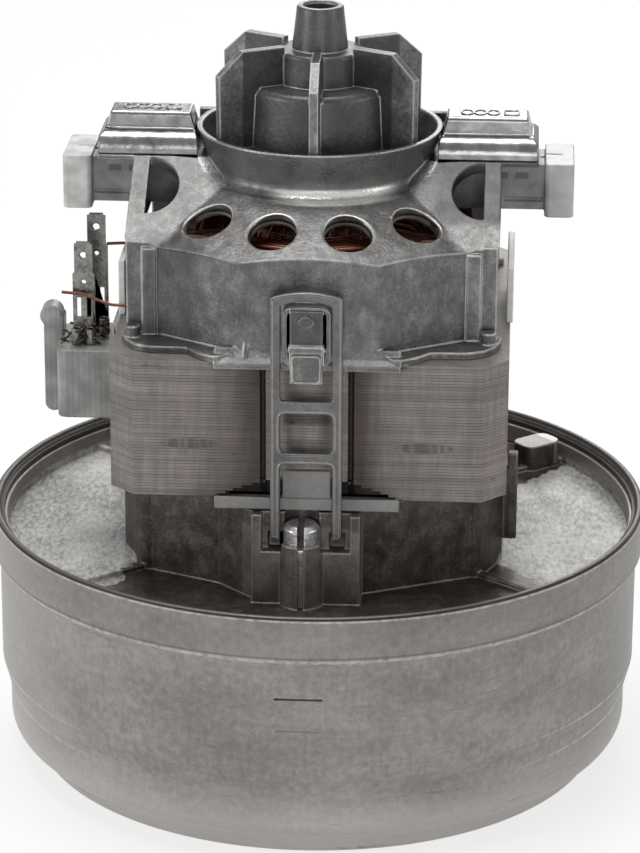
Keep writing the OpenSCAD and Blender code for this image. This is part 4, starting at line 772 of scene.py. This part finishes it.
def sheet_outline(cut):
    """Outline of a sheet; cut is half the width of its recess at the front and back, or 0."""
    front = []
    for x in (-NOTCH_X, NOTCH_X):
        if cut < NOTCH_X + NOTCH_W:
            low, high = x - NOTCH_W / 2, x + NOTCH_W / 2
            front += [(low, 0), (low, NOTCH_D), (high, NOTCH_D), (high, 0)]
    if cut:
        middle = [(-cut, 0), (-cut, LENS_DEEP), (cut, LENS_DEEP), (cut, 0)]
        front = [p for p in front if p[0] < -cut] + middle + [p for p in front if p[0] > cut]
    half = [(-STACK_X + CORNER, -STACK_Y)] + [(x, y - STACK_Y) for x, y in front]
    half += [(STACK_X - CORNER, -STACK_Y), (STACK_X, -STACK_Y + CORNER), (STACK_X, STACK_Y - CORNER)]
    return half + [(-x, -y) for x, y in half]


def bore_outline():
    """The round bore, which opens into a wider coil slot at the left and the right."""
    line = []
    for turn_by in (0, 180):
        line += ring_arc(BORE, turn_by - 180 + TIP_DEG, turn_by - TIP_DEG, 24)
        line += ring_arc(SLOT_IN, turn_by - TIP_DEG, turn_by - SLOT_DEG, 6)
        line += ring_arc(SLOT_OUT, turn_by - SLOT_DEG, turn_by + SLOT_DEG, 20)
        line += ring_arc(SLOT_IN, turn_by + SLOT_DEG, turn_by + TIP_DEG, 6)
    return line


bore_line = bore_outline()
print("outline:", len(sheet_outline(0)), "points, bore:", len(bore_line), "points")

# %% [markdown]
# A flat part with holes is least work as a filled 2D curve: the outlines go in as they are, and the
# curve cuts the holes, gives the thickness and can round the edges. It becomes a mesh at once.

# %% A plate from outlines
SHEET, PITCH = 0.61 * MM, 0.65 * MM


def flat_plate(name, outlines, thick, round_by=0.0):
    """A plate from closed outlines, the later ones being holes, made with a filled 2D curve."""
    curve = bpy.data.curves.new(name, "CURVE")
    curve.dimensions, curve.fill_mode = "2D", "BOTH"
    curve.extrude, curve.bevel_depth, curve.offset = thick / 2 - round_by, round_by, -round_by
    curve.bevel_resolution = 2
    for outline in outlines:
        add_line(curve, [(x, y, 0) for x, y in outline], closed=True)
    return mesh_of(curve)


def add_line(curve, points, closed):
    """Adds a line through the points to a curve."""
    spline = curve.splines.new("POLY")
    spline.points.add(len(points) - 1)
    for point, place in zip(spline.points, points):
        point.co = (*place, 1)
    spline.use_cyclic_u = closed


def mesh_of(curve):
    """The curve as a mesh; the object that is needed to evaluate it is removed again."""
    source = new_object(curve.name, curve)
    mesh = evaluated_mesh(source)
    bpy.data.objects.remove(source)
    return mesh


one_sheet = flat_plate("sheet", [sheet_outline(0), bore_line], SHEET)
print("sheet:", len(one_sheet.polygons), "faces")

# %% [markdown]
# The sheets are all alike, so Geometry Nodes lay them up: a Mesh Line gives a point per sheet, the
# sheet is instanced on each, and a random vector moves every one a hair off its place. The count, the
# pitch, the shift and the seed are named inputs.

# %% Node tree that lays up the sheets
layup = bpy.data.node_groups.new("lay_up_sheets", "GeometryNodeTree")
for label, kind, way in (("Sheet", "NodeSocketGeometry", "INPUT"), ("Count", "NodeSocketInt", "INPUT"),
                         ("Pitch", "NodeSocketFloat", "INPUT"), ("Shift", "NodeSocketFloat", "INPUT"),
                         ("Seed", "NodeSocketInt", "INPUT"), ("Finish", "NodeSocketMaterial", "INPUT"),
                         ("Stack", "NodeSocketGeometry", "OUTPUT")):
    layup.interface.new_socket(name=label, in_out=way, socket_type=kind)


def lay(kind, **settings):
    n = layup.nodes.new(kind)
    for key, value in settings.items():
        setattr(n, key, value)
    return n


inlet, outlet = lay("NodeGroupInput"), lay("NodeGroupOutput")
row, step_up = lay("GeometryNodeMeshLine"), lay("ShaderNodeCombineXYZ")
copies, jitter = lay("GeometryNodeInstanceOnPoints"), lay("FunctionNodeRandomValue", data_type="FLOAT_VECTOR")
shift_by, shift_low = lay("ShaderNodeCombineXYZ"), lay("ShaderNodeVectorMath", operation="SCALE")
move, real = lay("GeometryNodeTranslateInstances"), lay("GeometryNodeRealizeInstances")
paint = lay("GeometryNodeSetMaterial")
shift_low.inputs["Scale"].default_value = -1.0
for source, socket, target, goal in (
        (inlet, "Count", row, "Count"), (inlet, "Pitch", step_up, "Z"), (step_up, 0, row, "Offset"),
        (row, "Mesh", copies, "Points"), (inlet, "Sheet", copies, "Instance"),
        (inlet, "Shift", shift_by, "X"), (inlet, "Shift", shift_by, "Y"), (shift_by, 0, jitter, "Max"),
        (shift_by, 0, shift_low, 0), (shift_low, 0, jitter, "Min"), (inlet, "Seed", jitter, "Seed"),
        (copies, 0, move, "Instances"), (jitter, 0, move, "Translation"), (move, 0, real, 0),
        (real, 0, paint, "Geometry"), (inlet, "Finish", paint, "Material"), (paint, 0, outlet, "Stack")):
    layup.links.new(source.outputs[socket], target.inputs[goal])
print("tree:", len(layup.nodes), "nodes,", len(layup.links), "links")

# %% [markdown]
# The modifier's inputs are set by their identifiers, before the piece is first evaluated. Then the
# result is baked, and its place goes into the mesh, because a piece has to stay at the origin.

# %% Lay up the plain sheets
SHIFT, SEED = 0.035 * MM, 7
cut_sheets = math.ceil(LENS_H / PITCH)
count = int((STACK_TOP - STACK_LOW) / PITCH) - cut_sheets
stack = new_object("stator_sheets", one_sheet)
laid = stack.modifiers.new("lay_up", "NODES")
laid.node_group = layup
IDS = {i.name: i.identifier for i in layup.interface.items_tree if i.in_out == "INPUT"}
for label, value in (("Count", count), ("Pitch", PITCH), ("Shift", SHIFT), ("Seed", SEED),
                     ("Finish", lamination.material)):
    laid[IDS[label]] = value
bake(stack)
stack.data.transform(Matrix.Translation((0, 0, STACK_TOP - (count - 0.5) * PITCH)))
print("plain sheets:", count)

# %% [markdown]
# The shallow cut under the stack is a lens: each sheet below the plain ones is cut a little wider. No
# two are alike, so a loop makes them one by one and adds them to the same mesh.

# %% Sheets with the shallow cut
pile = bmesh.new()
pile.from_mesh(stack.data)
for i in range(cut_sheets):
    z = STACK_TOP - (count + i + 0.5) * PITCH
    rise = max(0.0, (z - STACK_LOW) / LENS_H)
    cut = LENS_X * math.sqrt(max(0.0, 1 - rise))
    low_sheet = flat_plate("low_sheet", [sheet_outline(cut), bore_line], SHEET)
    low_sheet.transform(Matrix.Translation((0, 0, z)))
    pile.from_mesh(low_sheet)
pile.to_mesh(stack.data)
pile.free()
stand_for(stack, "stator_stack")
print("stack:", count + cut_sheets, "sheets,", len(stack.data.polygons), "faces")

# %% [markdown]
# ## Wire
# A curve with a round bevel is wire: `wire` takes one or more routes and gives a mesh. The coils, the
# springs, the leads and some raised lines are all made with it.

# %% Wire helper


def wire(name, routes, thick_mm, closed=False):
    """A mesh of round wire along each route, a list of points in metres."""
    curve = bpy.data.curves.new(name, "CURVE")
    curve.dimensions, curve.bevel_depth, curve.bevel_resolution = "3D", thick_mm * MM / 2, 2
    curve.use_fill_caps = True
    for route in routes:
        add_line(curve, route, closed)
    mesh = mesh_of(curve)
    mesh.shade_smooth()
    return mesh


# %% [markdown]
# A field coil is a saddle: its loops are rounded rectangles bent round the shaft, laid side by side
# and then layer on layer, as the winder lays them. The solid draws it with twelve loops; here it has
# forty of finer wire, in one unbroken route. Half a loop is a corner, a side and a corner, with four
# points each, and the other half is the same turned over.

# %% Field coils
COIL_R, COIL_HALF, COIL_BEND = 27.35, 24.2, 2.6
COIL_LOW, COIL_HIGH = 4.4, 7.6
COIL_PITCH, COIL_LOOPS, COIL_LAYERS, COIL_WIRE = 1.45, 10, 4, 1.3
COIL_STEPS, HALF_LOOP = 24, 12
STACK_H = (STACK_TOP - STACK_LOW) / MM


def coil_point(k, layer, away):
    """Point k of a loop: a rounded rectangle bent round the shaft, away by so many pitches."""
    k %= COIL_STEPS
    turned = -1 if k >= HALF_LOOP else 1
    i = k % HALF_LOOP
    side = 1 if i < 4 else 1 - (i - 3) / 2.5 if i < 8 else -1
    bend = 30 * i if i < 4 else 90 if i < 8 else 30 * (i - 5)
    bend_r = COIL_BEND + away * COIL_PITCH
    s = turned * (side * (COIL_HALF - COIL_BEND) + bend_r * math.cos(math.radians(bend)))
    up = (COIL_HIGH if turned > 0 else COIL_LOW) - COIL_BEND + STACK_H / 2
    z = turned * (up + bend_r * math.sin(math.radians(bend)))
    r = COIL_R + layer * COIL_PITCH
    a = s / COIL_R - math.pi / 2
    return Vector((r * math.cos(a), r * math.sin(a), STACK_H / 2 + z)) * MM + Vector((0, 0, STACK_LOW))


def coil_route():
    route = []
    for i in range(COIL_LAYERS * COIL_LOOPS * COIL_STEPS):
        turns = i / COIL_STEPS
        layer, within = int(turns // COIL_LOOPS), turns % COIL_LOOPS
        away = within if layer % 2 == 0 else COIL_LOOPS - within
        climb = max(0.0, within - COIL_LOOPS + 0.3) / 0.3 if layer < COIL_LAYERS - 1 else 0.0
        route.append(coil_point(i, layer + climb, min(away, COIL_LOOPS - 1)))
    return route


for name, half_turn in (("field_coil_front", 0), ("field_coil_back", math.pi)):
    coil = wire(name, [coil_route()], COIL_WIRE)
    coil.transform(Matrix.Rotation(half_turn, 4, "Z"))
    stand_for(new_object(name + "_piece", coil), name)
print("coil:", len(coil.polygons), "faces")

# %% [markdown]
# The armature has a coil in each slot: its wires leave one slot, cross the end of the core round the
# shaft, and go down a slot five places on. Leads climb from the coils to the risers of the commutator,
# and a cord binds them.

# %% Armature coils
SLOTS, SLOT_RING, COIL_TURNS, TURN_DEG = 12, 17.6, 6, 1.9
COIL_SPAN = 5 * 360 / SLOTS
CORE_LOW, CORE_TOP = (corner[2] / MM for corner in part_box("armature_core"))


def round_point(r, a, z):
    return Vector((r * math.cos(a), r * math.sin(a), z)) * MM


def crossing(start, z, rise, closest):
    """Points from one slot to another over an end of the core, bowed round the shaft."""
    points = []
    for i in range(13):
        t = i / 12
        bow = math.sin(math.pi * t) ** 0.7 if 0 < t < 1 else 0.0
        r = SLOT_RING - (SLOT_RING - closest) * bow
        points.append(round_point(r, math.radians(start + COIL_SPAN * t), z + rise * bow))
    return points


turns_of_coil = []
for slot in range(SLOTS):
    for k in range(COIL_TURNS):
        start = slot * 360 / SLOTS + (k - (COIL_TURNS - 1) / 2) * TURN_DEG
        lift = 2.2 + 0.75 * k + 2.2 * (slot % 3) / 3
        closest = 8.4 + 0.9 * k
        over = crossing(start, CORE_TOP + 0.6, lift, closest)
        under = crossing(start, CORE_LOW - 0.6, -lift * 0.95, closest)
        turns_of_coil.append(over + under[::-1])
print("armature turns:", len(turns_of_coil))

# %% [markdown]
# A lead for each riser leans back a little as it climbs, and the cord is a helix round all of them.
# Coils, leads and cord are joined, since the CAD part is one solid too.

# %% Armature leads and cord
WIND_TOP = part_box("armature_winding")[1][2] / MM
# Radius, lean back in radians, and height of the points of a lead
LEAD_LINE = ((16.4, -0.25, CORE_TOP + 1.5), (15.6, -0.2, CORE_TOP + 6), (14.2, -0.1, WIND_TOP - 5),
             (12.9, 0, WIND_TOP - 0.4))
BIND_R, BIND_POINTS = 13.6, 200
for riser in range(2 * SLOTS):
    a = math.radians(riser * 180 / SLOTS)
    turns_of_coil.append([round_point(r, a + lean, z) for r, lean, z in LEAD_LINE])
cord = [round_point(BIND_R, i / 8, WIND_TOP - 4 + i * 0.011) for i in range(BIND_POINTS)]
winding = wire("armature_winding", turns_of_coil, 0.95)
joined = bmesh.new()
joined.from_mesh(winding)
joined.from_mesh(wire("binding", [cord], 0.6))
joined.to_mesh(winding)
joined.free()
winding.shade_smooth()
stand_for(new_object("armature_winding_piece", winding), "armature_winding")
print("armature:", len(winding.polygons), "faces")

# %% [markdown]
# The springs behind the brushes are fine coils. Each is fixed at its outer end and gets shorter when
# its brush slides out.

# %% Brush springs
TRAVEL, CURLS, CURL_STEPS, SPRING_R = 7, 9, 16, 2.5 * MM
for name, side in (("brush_spring_right", 1), ("brush_spring_left", -1)):
    low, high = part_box(name)
    start, end = sorted((low[0], high[0]), key=abs)
    start, end = start + side * 0.3 * MM, end - side * 0.3 * MM
    mid_z, points = (low[2] + high[2]) / 2, CURLS * CURL_STEPS
    route = []
    for i in range(points + 1):
        a = 2 * math.pi * i / CURL_STEPS
        route.append(Vector((start + (end - start) * i / points, SPRING_R * math.cos(a),
                             mid_z + SPRING_R * math.sin(a))))
    spring = new_object(name + "_piece", wire(name, [route], 0.6))
    stand_for(spring, name)
    long_mm = abs(end - start) / MM
    name.replace("spring_", "") + "_slide"
    (long_mm - TRAVEL) / long_mm
    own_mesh(spring)
    print(name, "is", round(long_mm, 1), "mm long")

# %% [markdown]
# The two short leads are thin enamelled wire with the kinks of a hand-made joint. Their points repeat
# the route of the CAD part, in millimetres, and a smooth line runs through them.

# %% Leads
UPPER_LEAD = ((-45.9, -3.5, 115.1), (-43.7, -3.6, 115.3), (-40.5, -4, 115.5), (-36, -5.4, 115.5),
              (-32, -8, 116.1), (-28, -13, 114.5), (-24, -18.5, 112.5))
LOWER_LEAD = ((-54.6, -13.4, 107.1), (-52.4, -13.6, 107.0), (-50, -13.5, 106.7), (-45.7, -15.2, 105.7),
              (-42.7, -15.8, 105.2), (-37.6, -15.8, 105.7), (-33.4, -15.6, 108.5), (-29, -16.2, 111.5))


def smooth_route(points_mm, steps=8):
    """A smooth line through the points."""
    points = [Vector(p) * MM for p in points_mm]
    points = [points[0]] + points + [points[-1]]
    line = []
    for a, b, c, d in zip(points, points[1:], points[2:], points[3:]):
        for i in range(steps):
            t = i / steps
            line.append(0.5 * (2 * b + (c - a) * t + (2 * a - 5 * b + 4 * c - d) * t * t
                               + (3 * b - a - 3 * c + d) * t ** 3))
    return line + [points[-1]]


lead_routes = [smooth_route(UPPER_LEAD), smooth_route(LOWER_LEAD)]
stand_for(new_object("lead_wires_piece", wire("leads", lead_routes, 0.7)), "lead_wires")
for route in lead_routes:
    print("lead:", round(sum((b - a).length for a, b in zip(route, route[1:])) / MM), "mm")

# %% [markdown]
# ## The retaining straps
# A strap is a pressed ladder with a bowed top, two windows and two legs. Its lines need few points if
# the bow comes from a formula and the corners are rounded afterwards, each by its own radius.

# %% Lines of a strap
STRAP_W, LEG, STRAP_T, ARCH, CORNER_R = 15.0, 2.1, 1.3, 1.3, 1.6
ARCH_STEPS = 8
half_w, inner = STRAP_W / 2, STRAP_W / 2 - LEG


def arch(half, z):
    """The bowed top of the strap or of its window, from right to left."""
    shares = [k / ARCH_STEPS for k in range(ARCH_STEPS, -ARCH_STEPS - 1, -1)]
    return [(half * share, z + ARCH * (1 - share ** 2)) for share in shares]


def round_corners(points, radii, steps=5):
    """Rounds the corners of a closed line, each by its own radius."""
    line = []
    for i, ((x, y), r) in enumerate(zip(points, radii)):
        here = Vector((x, y))
        if not r:
            line.append((x, y))
            continue
        before = (Vector(points[i - 1]) - here).normalized() * r
        after = (Vector(points[(i + 1) % len(points)]) - here).normalized() * r
        for k in range(steps + 1):
            t = k / steps
            p = here + before * (1 - t) ** 2 + after * t ** 2
            line.append((p.x, p.y))
    return line


def sill(z):
    """A level line between the legs, from left to right."""
    return [(-inner, z), (inner, z)]


print("strap:", STRAP_W, "mm wide,", round(2 * inner, 1), "mm between the legs")

# %% [markdown]
# The plate is a filled 2D curve with rounded edges, drawn in X and Z and then stood upright. Its bars
# follow the height of the stack.

# %% Strap plate
strap_low, strap_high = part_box("retaining_strap_front")
STRAP_FOOT, STRAP_TOP = strap_low[2] / MM, strap_high[2] / MM - ARCH
BAR_LOW, BAR_MID = STACK_LOW / MM + 9, STACK_LOW / MM + 20.1
BAR_LOW_T, BAR_MID_T, BAR_TOP_T = 1.9, 2.5, 2.0
along_arch = [0] * (2 * ARCH_STEPS - 1)
top_window = round_corners(sill(BAR_MID + BAR_MID_T) + arch(inner, STRAP_TOP - BAR_TOP_T),
                           [0.8, 0.8, 0] + along_arch + [0])
mid_window = round_corners(sill(BAR_LOW + BAR_LOW_T) + sill(BAR_MID)[::-1], [CORNER_R] * 4)
legs = [(-half_w, STRAP_FOOT), (-inner, STRAP_FOOT)] + sill(BAR_LOW) + [(inner, STRAP_FOOT)]
outer = round_corners([(half_w, STRAP_FOOT)] + arch(half_w, STRAP_TOP) + legs,
                      [0, 0.4] + along_arch + [0.4, 0, 0, CORNER_R, CORNER_R, 0])
in_metres = [[(x * MM, z * MM) for x, z in line] for line in (outer, top_window, mid_window)]
plate = flat_plate("strap", in_metres, STRAP_T * MM, round_by=0.32 * MM)
upright = Matrix.Rotation(math.pi / 2, 4, "X")
plate.transform(Matrix.Translation((0, strap_low[1] + STRAP_T * MM / 2, 0)) @ upright)
print("plate:", len(plate.polygons), "faces")

# %% [markdown]
# A raised bead follows the two lower openings and the outer edge, where the tool drew the metal
# forward. Two feet at the ends of the legs hook into the lower bracket.

# %% Strap beads and feet
BEAD, BEAD_IN = 0.5, 0.3
FOOT_LONG, FOOT_HIGH = 3.3 * MM, 1.5 * MM
bead_y = strap_low[1] + 0.1 * MM


def bead(line):
    return [Vector((x * MM, bead_y, z * MM)) for x, z in line]


def widened(line):
    return [(x * 1.07, z) for x, z in line]


low_sill = sill(STRAP_FOOT + 1)
low_window = round_corners([low_sill[0]] + sill(BAR_LOW) + [low_sill[1]], [0, CORNER_R, CORNER_R, 0])
top_bead = [(x * 0.97, z - BEAD_IN) for x, z in arch(half_w, STRAP_TOP)]
side_beads = [[(s * (half_w - BEAD_IN), STRAP_TOP - 0.8), (s * (half_w - BEAD_IN), STRAP_FOOT + 1.5)]
              for s in (-1, 1)]
strap_parts = [plate, wire("beads", [bead(widened(mid_window))], BEAD, closed=True)]
open_lines = [widened(low_window), top_bead] + side_beads
strap_parts.append(wire("open_beads", [bead(line) for line in open_lines], BEAD))
foot_outline = [(0, 0), (FOOT_LONG, 0), (FOOT_LONG, FOOT_HIGH), (0, FOOT_HIGH)]
for s in (-1, 1):
    foot = flat_plate("foot", [foot_outline], LEG * MM, round_by=0.25 * MM)
    place = Matrix.Translation((s * (inner + LEG / 2) * MM, strap_low[1], STRAP_FOOT * MM))
    foot.transform(place @ Matrix.Rotation(math.pi / 2, 4, "Z") @ upright)
    strap_parts.append(foot)
print("strap parts:", len(strap_parts))

# %% [markdown]
# The parts are joined into one mesh, and the back strap is the front one turned by half a turn.

# %% Both straps
strap_work = bmesh.new()
for part in strap_parts:
    strap_work.from_mesh(part)
for name, half_turn in (("retaining_strap_front", 0), ("retaining_strap_back", math.pi)):
    mesh = bpy.data.meshes.new(name)
    strap_work.to_mesh(mesh)
    mesh.transform(Matrix.Rotation(half_turn, 4, "Z"))
    mesh.shade_smooth()
    mesh.set_sharp_from_angle(angle=math.radians(40))
    stand_for(new_object(name + "_piece", mesh), name)
strap_work.free()
print("strap:", len(mesh.polygons), "faces")

# %% [markdown]
# ## Small pressed and curled details
# The tops of the clamps carry a raised pattern of three ovals and an oblong. It is thin wire that lies
# half in the sheet, added to the clamp.

# %% Clamp pattern
OVAL_X, OVAL_Y, OVAL_STEPS = 1.25 * MM, 1.9 * MM, 20
OVAL_PLACES = (-4.6, -1.8, 1.0)
BAR_IN, BAR_OUT, BAR_HALF = 3.4, 6.4, 1.8
clamp_low, clamp_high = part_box("brush_clamp_right")


def oval(middle_x, z):
    angles = [2 * math.pi * i / OVAL_STEPS for i in range(OVAL_STEPS)]
    return [Vector((middle_x + OVAL_X * math.cos(a), OVAL_Y * math.sin(a), z)) for a in angles]


for side, name in ((1, "brush_clamp_right"), (-1, "brush_clamp_left")):
    middle = side * (clamp_low[0] + clamp_high[0]) / 2
    z = clamp_high[2]
    rings = [oval(middle + dx * MM, z) for dx in OVAL_PLACES]
    corners = ((BAR_IN, -BAR_HALF), (BAR_OUT, -BAR_HALF), (BAR_OUT, BAR_HALF), (BAR_IN, BAR_HALF))
    rings.append([Vector((middle + x * MM, y * MM, z)) for x, y in corners])
    pattern = new_object(name + "_pattern", wire(name + "_pattern", rings, 0.55, closed=True))
    go_with(pattern, name, bright_sheet)
    print(pattern.name, len(pattern.data.polygons), "faces")

# %% [markdown]
# The cast tongue that shows in the strap's window has a ring round its button, a ridge across, and a
# raised border round its pad. The same lines are on the tongue at the back.

# %% Tongue of the upper bracket
BUTTON_WIDE, BUTTON_HIGH, BUTTON_Y, BUTTON_Z = 1.5, 1.1, -47.1, 112.5
RIDGE_X, RIDGE_Y, RIDGE_Z = 3.6, -47.35, 107.2
PAD_X, PAD_Y, PAD_LOW, PAD_HIGH, PAD_CUT = 2.9, -46.75, 99.3, 105.1, 0.5
button = [(BUTTON_WIDE * math.cos(i / 4), BUTTON_Y, BUTTON_Z + BUTTON_HIGH * math.sin(i / 4))
          for i in range(26)]
ridge = [(-RIDGE_X, RIDGE_Y, RIDGE_Z), (0, RIDGE_Y - 0.05, RIDGE_Z + 0.05), (RIDGE_X, RIDGE_Y, RIDGE_Z)]
pad = [(-PAD_X, PAD_Y, PAD_LOW + PAD_CUT), (-PAD_X, PAD_Y, PAD_HIGH - PAD_CUT),
       (-PAD_X + PAD_CUT, PAD_Y, PAD_HIGH), (PAD_X - PAD_CUT, PAD_Y, PAD_HIGH),
       (PAD_X, PAD_Y, PAD_HIGH - PAD_CUT), (PAD_X, PAD_Y, PAD_LOW + PAD_CUT),
       (PAD_X - PAD_CUT, PAD_Y, PAD_LOW), (-PAD_X + PAD_CUT, PAD_Y, PAD_LOW),
       (-PAD_X, PAD_Y, PAD_LOW + PAD_CUT)]
tongue_lines = []
for s in (1, -1):
    tongue_lines += [[Vector((s * x, s * y, z)) * MM for x, y, z in line] for line in (button, ridge, pad)]
tongue = new_object("tongue_lines", wire("tongue_lines", tongue_lines, 0.6))
go_with(tongue, "upper_bracket", upper_cast)
print("tongue lines:", len(tongue_lines))

# %% [markdown]
# The roots of the terminal blades end in small curled contacts of dark bronze. Each is a helix that
# climbs from the block; its place, number of turns and height are given one by one.

# %% Curled contacts
CURL_R, CURL_BASE, CURL_STEP = 0.95, 95.0, 0.5
POINTS_PER_TURN = 12.6
CONTACTS = ((-54.2, -12.6, 1.4, 3.2), (-50.6, -14.6, 2.2, 5.2), (-47.2, -13.8, 1.8, 5.8),
            (-52.6, -8.5, 1.5, 3.6), (-46.0, -9.5, 2.0, 4.6))
curls = []
for x, y, turns, height in CONTACTS:
    points = turns * POINTS_PER_TURN
    curls.append([Vector((x + CURL_R * math.cos(i * CURL_STEP), y + CURL_R * math.sin(i * CURL_STEP),
                          CURL_BASE + height * i / points)) * MM for i in range(int(points) + 1)])
contacts = new_object("terminal_contacts", wire("terminal_contacts", curls, 0.6))
go_with(contacts, "terminal_tabs", bronze)
print("contacts:", len(curls))

# %% [markdown]
# ## Floor, background and light
# The floor is pale paper that keeps the motor's shadow. To the camera and in reflections it also glows
# by itself, so that the background is white without more light on the motor.

# %% Floor
REACH = 6.0
bpy.context.scene.view_settings.view_transform = "Standard"
floor_mesh = bpy.data.meshes.new("floor")
floor_corners = [(-REACH, -REACH, 0), (REACH, -REACH, 0), (REACH, REACH, 0), (-REACH, REACH, 0)]
floor_mesh.from_pydata(floor_corners, [], [(0, 1, 2, 3)])
floor = new_object("floor", floor_mesh)
floor_finish = Finish("floor_finish", (0.86, 0.86, 0.86), roughness=0.9)
floor_tree = floor_finish.tree
paper = node(floor_tree, "ShaderNodeEmission", {}, (1, 1, 1, 1), 1.0)
lit = Sock(floor_tree, floor_finish.shader.outputs[0])
seen = node(floor_tree, "ShaderNodeLightPath", {}, out=0)
mirrored = Sock(floor_tree, seen.out.node.outputs["Is Glossy Ray"])
blend = node(floor_tree, "ShaderNodeMixShader", {}, (seen * 0.75 + mirrored * 0.6).clamp(), lit, paper)
floor_tree.links.new(blend.out, floor_tree.nodes["Material Output"].inputs[0])
floor_mesh.materials.append(floor_finish.material)
floor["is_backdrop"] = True
print("floor:", 2 * REACH, "m wide")

# %% [markdown]
# The world is white to the camera and a dim grey to the light that falls on the motor, so the lamps do
# the lighting. Reflections see a part of that white.

# %% World
world = bpy.data.worlds.new("world")
bpy.context.scene.world = world
world.use_nodes = True
sky = world.node_tree
for n in list(sky.nodes):
    sky.nodes.remove(n)
camera_ray = node(sky, "ShaderNodeLightPath", {}, out=0)
glossy_ray, through_ray = (Sock(sky, camera_ray.out.node.outputs[label])
                           for label in ("Is Glossy Ray", "Is Transmission Ray"))
white = (camera_ray + glossy_ray * 0.25 + through_ray).clamp()
dim = node(sky, "ShaderNodeBackground", {}, (0.5, 0.5, 0.5, 1), 0.7)
bright = node(sky, "ShaderNodeBackground", {}, (1, 1, 1, 1), 1.0)
sky_mix = node(sky, "ShaderNodeMixShader", {}, white, dim, bright)
sky_out = sky.nodes.new("ShaderNodeOutputWorld")
sky.links.new(sky_mix.out, sky_out.inputs[0])
print("world:", len(sky.nodes), "nodes")

# %% [markdown]
# A wide lamp hangs overhead. Weaker ones stand at the left, the right and the back, and a low one in
# front lights the wall of the can, as in the photograph.

# %% Lamps


def lamp(name, place, watts, size, target=(0, 0, 0.09)):
    data = bpy.data.lights.new(name, "AREA")
    data.energy, data.shape, data.size = watts, "DISK", size
    o = new_object(name, data)
    o.location = place
    o.rotation_euler = (Vector(target) - Vector(place)).to_track_quat("-Z", "Y").to_euler()
    print(name, watts, "W")


lamp("top_lamp", (-0.1, 0.05, 1.05), 7.0, 0.6)
lamp("left_lamp", (-0.95, -0.5, 0.34), 3.6, 0.4)
lamp("right_lamp", (0.95, -0.35, 0.34), 1.8, 0.4)
lamp("back_lamp", (0.1, 0.9, 0.6), 3.0, 0.5)
lamp("low_lamp", (0.1, -1.2, 0.08), 2.7, 0.5, target=(0, 0, 0.02))

# %% [markdown]
# ## Measure and finish
# The dressed motor should fill the same box as the CAD model, so its box is printed.

# %% Measure and finish
low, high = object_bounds()
print("visual box", [round(v, 4) for v in (high - low)])
